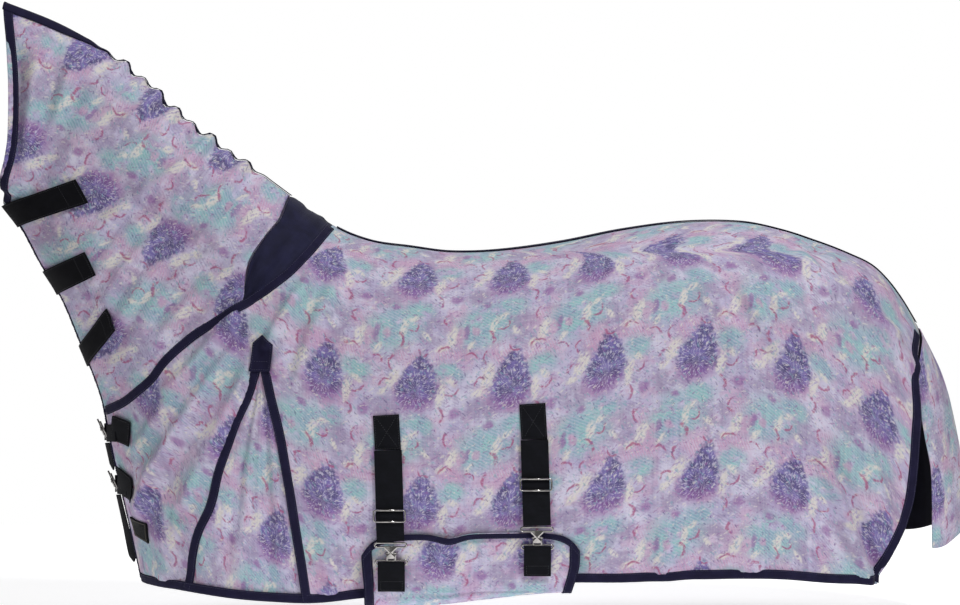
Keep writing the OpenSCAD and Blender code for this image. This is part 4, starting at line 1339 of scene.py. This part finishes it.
def bib_strip(b, us, ws, high):
    uu, ww = np.meshgrid(us, ws)
    p = bib_point(uu, ww, bib_folds(uu, ww) + high)
    low = bib_point(uu, ww, bib_folds(uu, ww) - 3.4)
    run = np.linspace(0, 0.8, len(ws))
    uv = np.stack(np.broadcast_arrays(run[:, None], np.linspace(0, 0.018, len(us))[None, :]), -1)
    rings = np.concatenate([p, low[:, ::-1]], 1)
    uvs = np.concatenate([uv, uv[:, ::-1]], 1)
    b.tube(rings[::-1], uvs=uvs[::-1])


def bib_tape():
    """Tape round the bib's two side edges and its near top edge."""
    b = Builder()
    edge = BINDING_W / BIB_LEN
    w = np.linspace(0, 1, 221) ** 1.35
    for a, c in ((-0.004, edge), (1 - edge, 1.004)):
        us = np.linspace(a, c, 7)
        bib_strip(b, us, w, 2.0)
        for at in (us[1], us[5]):
            here = np.full(len(w), at)
            line = bib_point(here, w, bib_folds(here, w) + 2.05)
            n = unit(bib_point(here, w, 1.0) - bib_point(here, w, 0.0))
            stitches(b, line, n, 1)
    u = np.linspace(0, 1, 90)
    ws = np.linspace(0, 0.0205, 5)
    uu, ww = np.meshgrid(u, ws)
    top = bib_point(uu, ww, bib_folds(uu, ww) + 2.1)
    low = bib_point(uu, ww, bib_folds(uu, ww) - 3.5)
    rings = np.concatenate([top, low[::-1]], 0).transpose(1, 0, 2)
    around = np.concatenate([ws, ws[::-1]])
    uv = np.stack(np.broadcast_arrays(u[:, None] * 0.416, around[None, :]), -1)
    b.tube(rings, uvs=uv)
    line = bib_point(u, np.full(90, 0.017), bib_folds(u, np.full(90, 0.017)) + 2.2)
    n = unit(bib_point(u, np.full(90, 0.017), 1.0) - bib_point(u, np.full(90, 0.017), 0.0))
    stitches(b, line, n, 1)
    obj = b.build("bib_tape", [NAVY, NAVY_THREAD])
    return settle(obj, "bib", "navy_binding", "bib_binding")


def bib_off_seam():
    b = Builder()
    grid = patch_grid((BIB_FRONT_X, -566), (BIB_FRONT_X + BIB_LEN, -566),
                      (BIB_FRONT_X + BIB_LEN, -586), (BIB_FRONT_X, -586), 80, 6)
    add_patch(b, grid, OFF, 0.5, 2.6)
    for row in (1, 5):
        sew(b, grid[row], OFF, 2.65)
    obj = b.build("bib_off_seam_tape", [NAVY, NAVY_THREAD])
    return settle(obj, "root", "navy_binding", "bib_off_seam")


def bib_tab(word):
    """Webbing sewn to the bib, with a loop round the catch's bar."""
    x, bar_z = STRAPS[word].x + SWAY + 1, STRAPS[word].catch_bar
    b = Builder()
    low = bar_z - 3 - TAB_LEN
    n = 14
    z = np.linspace(low, bar_z + 4, n)
    bar_y = bib_face(bar_z) - CATCH_OUT
    share = smooth((z - low - 12) / (TAB_LEN - 16))
    y = mix(bib_face(z) - 5.2, bar_y - WIRE_R - 1.2, share)
    p = np.stack([np.full(n, x), y, z], -1)[::-1]
    nrm = np.tile([0.0, -1.0, 0.0], (n, 1))
    sweep(b, p, nrm, rounded_profile(WEBBING_W + 2, -1.0, 1.0, 0.7))
    line = np.array([(x - 21, low + 3), (x + 21, low + 3), (x + 21, low + 20), (x - 21, low + 20),
                     (x - 21, low + 3)], float)
    q = path_points(line, 2.0)
    ys = np.interp(q[:, 1], z, y) - 1.1
    stitches(b, np.stack([q[:, 0], ys, q[:, 1]], -1), np.tile([0.0, -1.0, 0.0], (len(q), 1)), 1)
    obj = b.build(word + "_bib_webbing", [BLACK, BLACK_THREAD])
    return settle(obj, "bib", "black_webbing", word + "_bib_tab")


def catch(word):
    """Eye on a bar: a wide bar for the webbing, a short trunk with its slot and a cap."""
    x, z = STRAPS[word].x + SWAY + 1, STRAPS[word].catch_bar
    b = Builder()
    y = bib_face(z) - CATCH_OUT
    wire(b, rounded_loop((x, y, z + 2), BUCKLE_W, 8, 3.5), WIRE_R * 0.9, closed=True)
    wire(b, rounded_loop((x, y, z + 12), 15, 15, 3), WIRE_R, closed=True)
    wire(b, [(x - 11, y + 0.5, z + 19), (x - 6, y - 0.8, z + 20.5), (x + 6, y - 0.8, z + 20.5),
             (x + 11, y + 0.5, z + 19)], 2.2)
    obj = b.build(word + "_eye_catch", [CHROME])
    return settle(obj, "bib", "bright_metal", word + "_bib_catch")


bib_off_seam()
bib()
bib_tape()
for strap in STRAPS:
    bib_tab(strap)
    catch(strap)

# ---------------------------------------------------------------- tail flap

FLAP_TOP, FLAP_LEN, FLAP_HALF_W = (1169, -203), 388, 181
FLAP_MIDDLE = [(0, 1170), (0.1, 1190), (0.22, 1212), (0.37, 1230), (0.66, 1250),
               (0.9, 1254), (1, 1250)]
FLAP_EDGE = [(0, 1164), (0.15, 1149), (0.3, 1150), (0.45, 1158), (0.62, 1170), (1, 1173)]
FLAP_HALF = [(0, 0.53), (0.15, 0.82), (0.3, 0.92), (0.5, 0.98), (1, 1)]


def flap_point(k, v, d):
    """k runs from -1, the near edge, to 1, v from the sewn edge to the bottom."""
    side = np.sin(pi / 2 * k)
    top = FLAP_TOP[1] - 26 * side**2
    bottom = FLAP_TOP[1] - FLAP_LEN - 34 * side**2
    ripple = (3.5 * np.sin(6 * k + 2.2 * v + 0.6) + 2.0 * np.sin(11 * k - v)) * smooth(v * 1.4)
    half = FLAP_HALF_W * curve(FLAP_HALF, v) + d
    x = mix(curve(FLAP_MIDDLE, v), curve(FLAP_EDGE, v), 1 - np.cos(pi / 2 * k))
    return np.stack([x + (d + ripple) * np.cos(pi / 2 * k), half * side, mix(top, bottom, v)], -1)


def flap_sheet(name, low, high, material, slot, node):
    b = Builder()
    k, v = np.meshgrid(np.linspace(-1, 1, 121), np.linspace(0, 1, 101))
    p = flap_point(k, v, high)
    uv = np.stack([k * 0.24, -v * FLAP_LEN * MM], -1) + 0.05
    b.grid(p, uv, flip=True)
    obj = thicken(b.build(name, [material]), high - low)
    return settle(obj, "flap", slot, node)


flap = flap_sheet("tail_flap_cloth", 0, 1.6, PRINT, "printed_mesh", "tail_flap")
# inner sheet of the flap: its black is partly lining colour and partly painted shade inside the
# flap
flap_lining_and_shade = flap_sheet("tail_flap_inner", -2.2, -0.8, LINING_AND_PAINTED_SHADE, "black_lining", "tail_flap_lining")

# ---------------------------------------------------------------- chest closures

CHEST_Z = [-408, -512]
CHEST_PATCH = [
    [(-430, -373), (-392, -384), (-394, -432), (-434, -421)],
    [(-423, -474), (-390, -494), (-380, -540), (-411, -532)]]
CLIP_X = [-460, -439]
TAIL_X, TAIL_TURN, TAIL_LEAN = [-459, -433], 30, 13
CHEST_NAMES = ["upper", "lower"]


def loop_to_bar(b, i, side, bar):
    """Webbing from the sewn patch forward round the chest to a bar at (x, y)."""
    z = CHEST_Z[i]
    x0 = float(front_edge(z)) + 24
    y0 = float(side_y(x0, z)) + 5.5
    start, end = np.array([x0, side * y0]), np.array([bar[0] + 2.0, bar[1]])
    middle = mix(start, end, 0.55) + np.array([-3.5, 5 * side])
    k = np.linspace(0, 1, 14)[:, None]
    path = (1 - k)**2 * start + 2 * k * (1 - k) * middle + k**2 * end
    p = np.stack([path[:, 0] + 2.0 * k[:, 0], path[:, 1], np.full(14, z) - 4 * k[:, 0]], -1)
    t = unit(np.gradient(p, axis=0))
    n = unit(np.cross(t, np.array([0.0, 0.0, 1.0])))
    n = n * np.where(n[:, :1] > 0, -1.0, 1.0)
    sweep(b, p, n, rounded_profile(34, -1.0, 1.0, 0.7))


def chest_tab(i):
    b = Builder()
    grid = patch_grid(*CHEST_PATCH[i], 16, 18)
    add_patch(b, grid, NEAR, TAB_LOW - 0.6, TAB_LOW + 2.2)
    sew(b, inset_outline(grid, 0.10, 0.08), NEAR, TAB_LOW + 2.25)
    loop_to_bar(b, i, -1, (CLIP_X[i] + 6, -26))
    obj = b.build(CHEST_NAMES[i] + "_chest_tab_webbing", [BLACK, BLACK_THREAD])
    return settle(obj, "root", "black_webbing", CHEST_NAMES[i] + "_chest_tab")


def chest_strap(i):
    b = Builder()
    c = [np.array(p, float) for p in CHEST_PATCH[i]]
    grid = patch_grid(c[0], c[1] + [20, 0], c[2] + [20, 0], c[3], 20, 18)
    add_patch(b, grid, OFF, TAB_LOW - 0.6, TAB_LOW + 2.2)
    sew(b, inset_outline(grid, 0.08, 0.08), OFF, TAB_LOW + 2.25)
    loop_to_bar(b, i, 1, (CLIP_X[i] - 3, 13))
    obj = b.build(CHEST_NAMES[i] + "_chest_strap_webbing", [BLACK, BLACK_THREAD])
    return settle(obj, "root", "black_webbing", CHEST_NAMES[i] + "_chest_strap")


def chest_clip(i):
    """Wire eye on the near side and the T-hook that grips it, both lying along the chest."""
    x, z = CLIP_X[i], CHEST_Z[i]
    bar = np.array([0.42, 0.0, -0.91])
    eye, pin = np.array([x + 6.0, -27.0, z]), np.array([x - 4.0, 12.0, z + 2.0])
    across = eye - pin
    b = Builder()
    wire(b, [eye - 22 * bar, eye + 22 * bar], 1.8)
    wire(b, [eye - 13 * bar, eye - 13 * bar - 0.42 * across, eye + 13 * bar - 0.42 * across,
             eye + 13 * bar], 1.5)
    obj = b.build(CHEST_NAMES[i] + "_chest_eye", [CHROME])
    settle(obj, "root", "bright_metal", CHEST_NAMES[i] + "_chest_catch")
    b = Builder()
    lift = np.array([-3.6, 0.0, 0.0])
    wire(b, [pin - 22 * bar, pin + 22 * bar], 1.8)
    for end in (-15, 15):
        wire(b, [pin + end * bar, pin + 0.35 * across + 0.5 * end * bar + 0.5 * lift,
                 pin + 0.7 * across + 0.25 * end * bar + lift], 1.5)
    wire(b, [pin + 0.35 * across + lift, pin + 0.78 * across + lift], 2.2)
    wire(b, [pin + 0.80 * across + lift - 9 * bar, pin + 0.80 * across + lift + 9 * bar], 2.0)
    obj = b.build(CHEST_NAMES[i] + "_chest_t_hook", [CHROME])
    settle(obj, CHEST_NAMES[i] + "_clip", "bright_metal", CHEST_NAMES[i] + "_chest_hook")


TAIL_LENGTH = [56, 138]             # spare ends of the upper and lower chest straps
TAIL_Y, TAIL_DROP = -11.0, 24       # where they hang, and how far below the closure they start


def chest_tail(i):
    """Spare end of the chest strap with a pointed tip, lying along the chest."""
    b = Builder()
    length = TAIL_LENGTH[i]
    n = 40
    run = np.linspace(0, length, n)
    lean = radians(TAIL_LEAN)
    p = np.stack([TAIL_X[i] + 8 - 4 * i + run * sin(lean), np.full(n, TAIL_Y),
                  CHEST_Z[i] - TAIL_DROP - run * cos(lean)], -1)
    # it twists a little on its way down
    turn = np.radians(TAIL_TURN + 10 * smooth((run / length - 0.35) / 0.5) * i - 4)
    across = np.stack([-np.sin(turn) * cos(lean), np.cos(turn), -np.sin(turn) * sin(lean)], -1)
    down = np.tile([sin(lean), 0.0, -cos(lean)], (n, 1))
    out = np.cross(across, down)
    out = out * -np.sign(out[:, 1:2])
    profile = rounded_profile(30, -1.0, 1.0, 0.7)
    left = length - run
    narrow = np.where(left < 13, 0.12 + 0.88 * left / 13, 1.0) * mix(0.86, 1.0, smooth(run / 60))
    rings = (p[:, None] + across[:, None] * (profile[None, :, :1] * narrow[:, None, None])
             + out[:, None] * profile[None, :, 1:])
    uvs = np.stack(np.broadcast_arrays(run[:, None], profile[None, :, 0]), -1) * MM
    b.tube(rings, uvs=uvs)
    obj = b.build(CHEST_NAMES[i] + "_chest_tail_webbing", [BLACK, BLACK_THREAD])
    return settle(obj, CHEST_NAMES[i] + "_tail", "black_webbing", CHEST_NAMES[i] + "_chest_tail")


for clip in range(2):
    chest_tab(clip)
    chest_strap(clip)
    chest_tail(clip)
    chest_clip(clip)

# ---------------------------------------------------------------- studio


WORLD_ON_RUG, WORLD_SEEN = 0.17, 1.0    # how strongly the world lights the rug, and looks
FLOOR_HALF, FLOOR_Z = 1900, -790
FLOOR_GLOW = 0.6


def studio():
    """White surroundings, a pale floor and soft lamps."""
    scene = bpy.context.scene
    scene.view_settings.view_transform = "Standard"
    world = bpy.data.worlds.new("studio")
    world.use_nodes = True
    nodes = world.node_tree.nodes
    background = nodes["Background"]
    background.inputs["Color"].default_value = (1, 1, 1, 1)
    seen = nodes.new("ShaderNodeLightPath")
    strength = nodes.new("ShaderNodeMapRange")
    strength.inputs["To Min"].default_value = WORLD_ON_RUG
    strength.inputs["To Max"].default_value = WORLD_SEEN
    world.node_tree.links.new(seen.outputs["Is Camera Ray"], strength.inputs["Value"])
    world.node_tree.links.new(strength.outputs[0], background.inputs["Strength"])
    scene.world = world
    b = Builder()
    b.grid(np.array([[(-FLOOR_HALF, y, FLOOR_Z), (FLOOR_HALF, y, FLOOR_Z)]
                     for y in (-FLOOR_HALF, FLOOR_HALF)], float))
    s = Shader("floor_paper", Roughness=0.9, Emission_Color=(1, 1, 1, 1),
               Emission_Strength=FLOOR_GLOW)
    grain = s.noise(s.scaled(s.place(), 3, 3, 3), 1, 2)
    paper = s.finish(s.mix(grain, srgb(250, 250, 250), srgb(244, 244, 246)))
    b.build("floor", [paper])
    for name, place, turn, size, power in (
            ("key", (1.7, -2.3, 3.1), (42, 0, 34), 0.7, 116),
            ("fill", (-1.6, -4.2, 0.8), (80, 0, -24), 3.0, 12),
            ("top", (0.4, 0.2, 3.6), (0, 0, 0), 1.6, 22),
            ("back", (0.6, 4.0, 1.6), (-68, 0, 0), 3.0, 40)):
        data = bpy.data.lights.new(name, "AREA")
        data.energy = power
        data.size = size
        lamp = bpy.data.objects.new(name, data)
        lamp.location = place
        lamp.rotation_euler = [radians(t) for t in turn]
        scene.collection.objects.link(lamp)


studio()
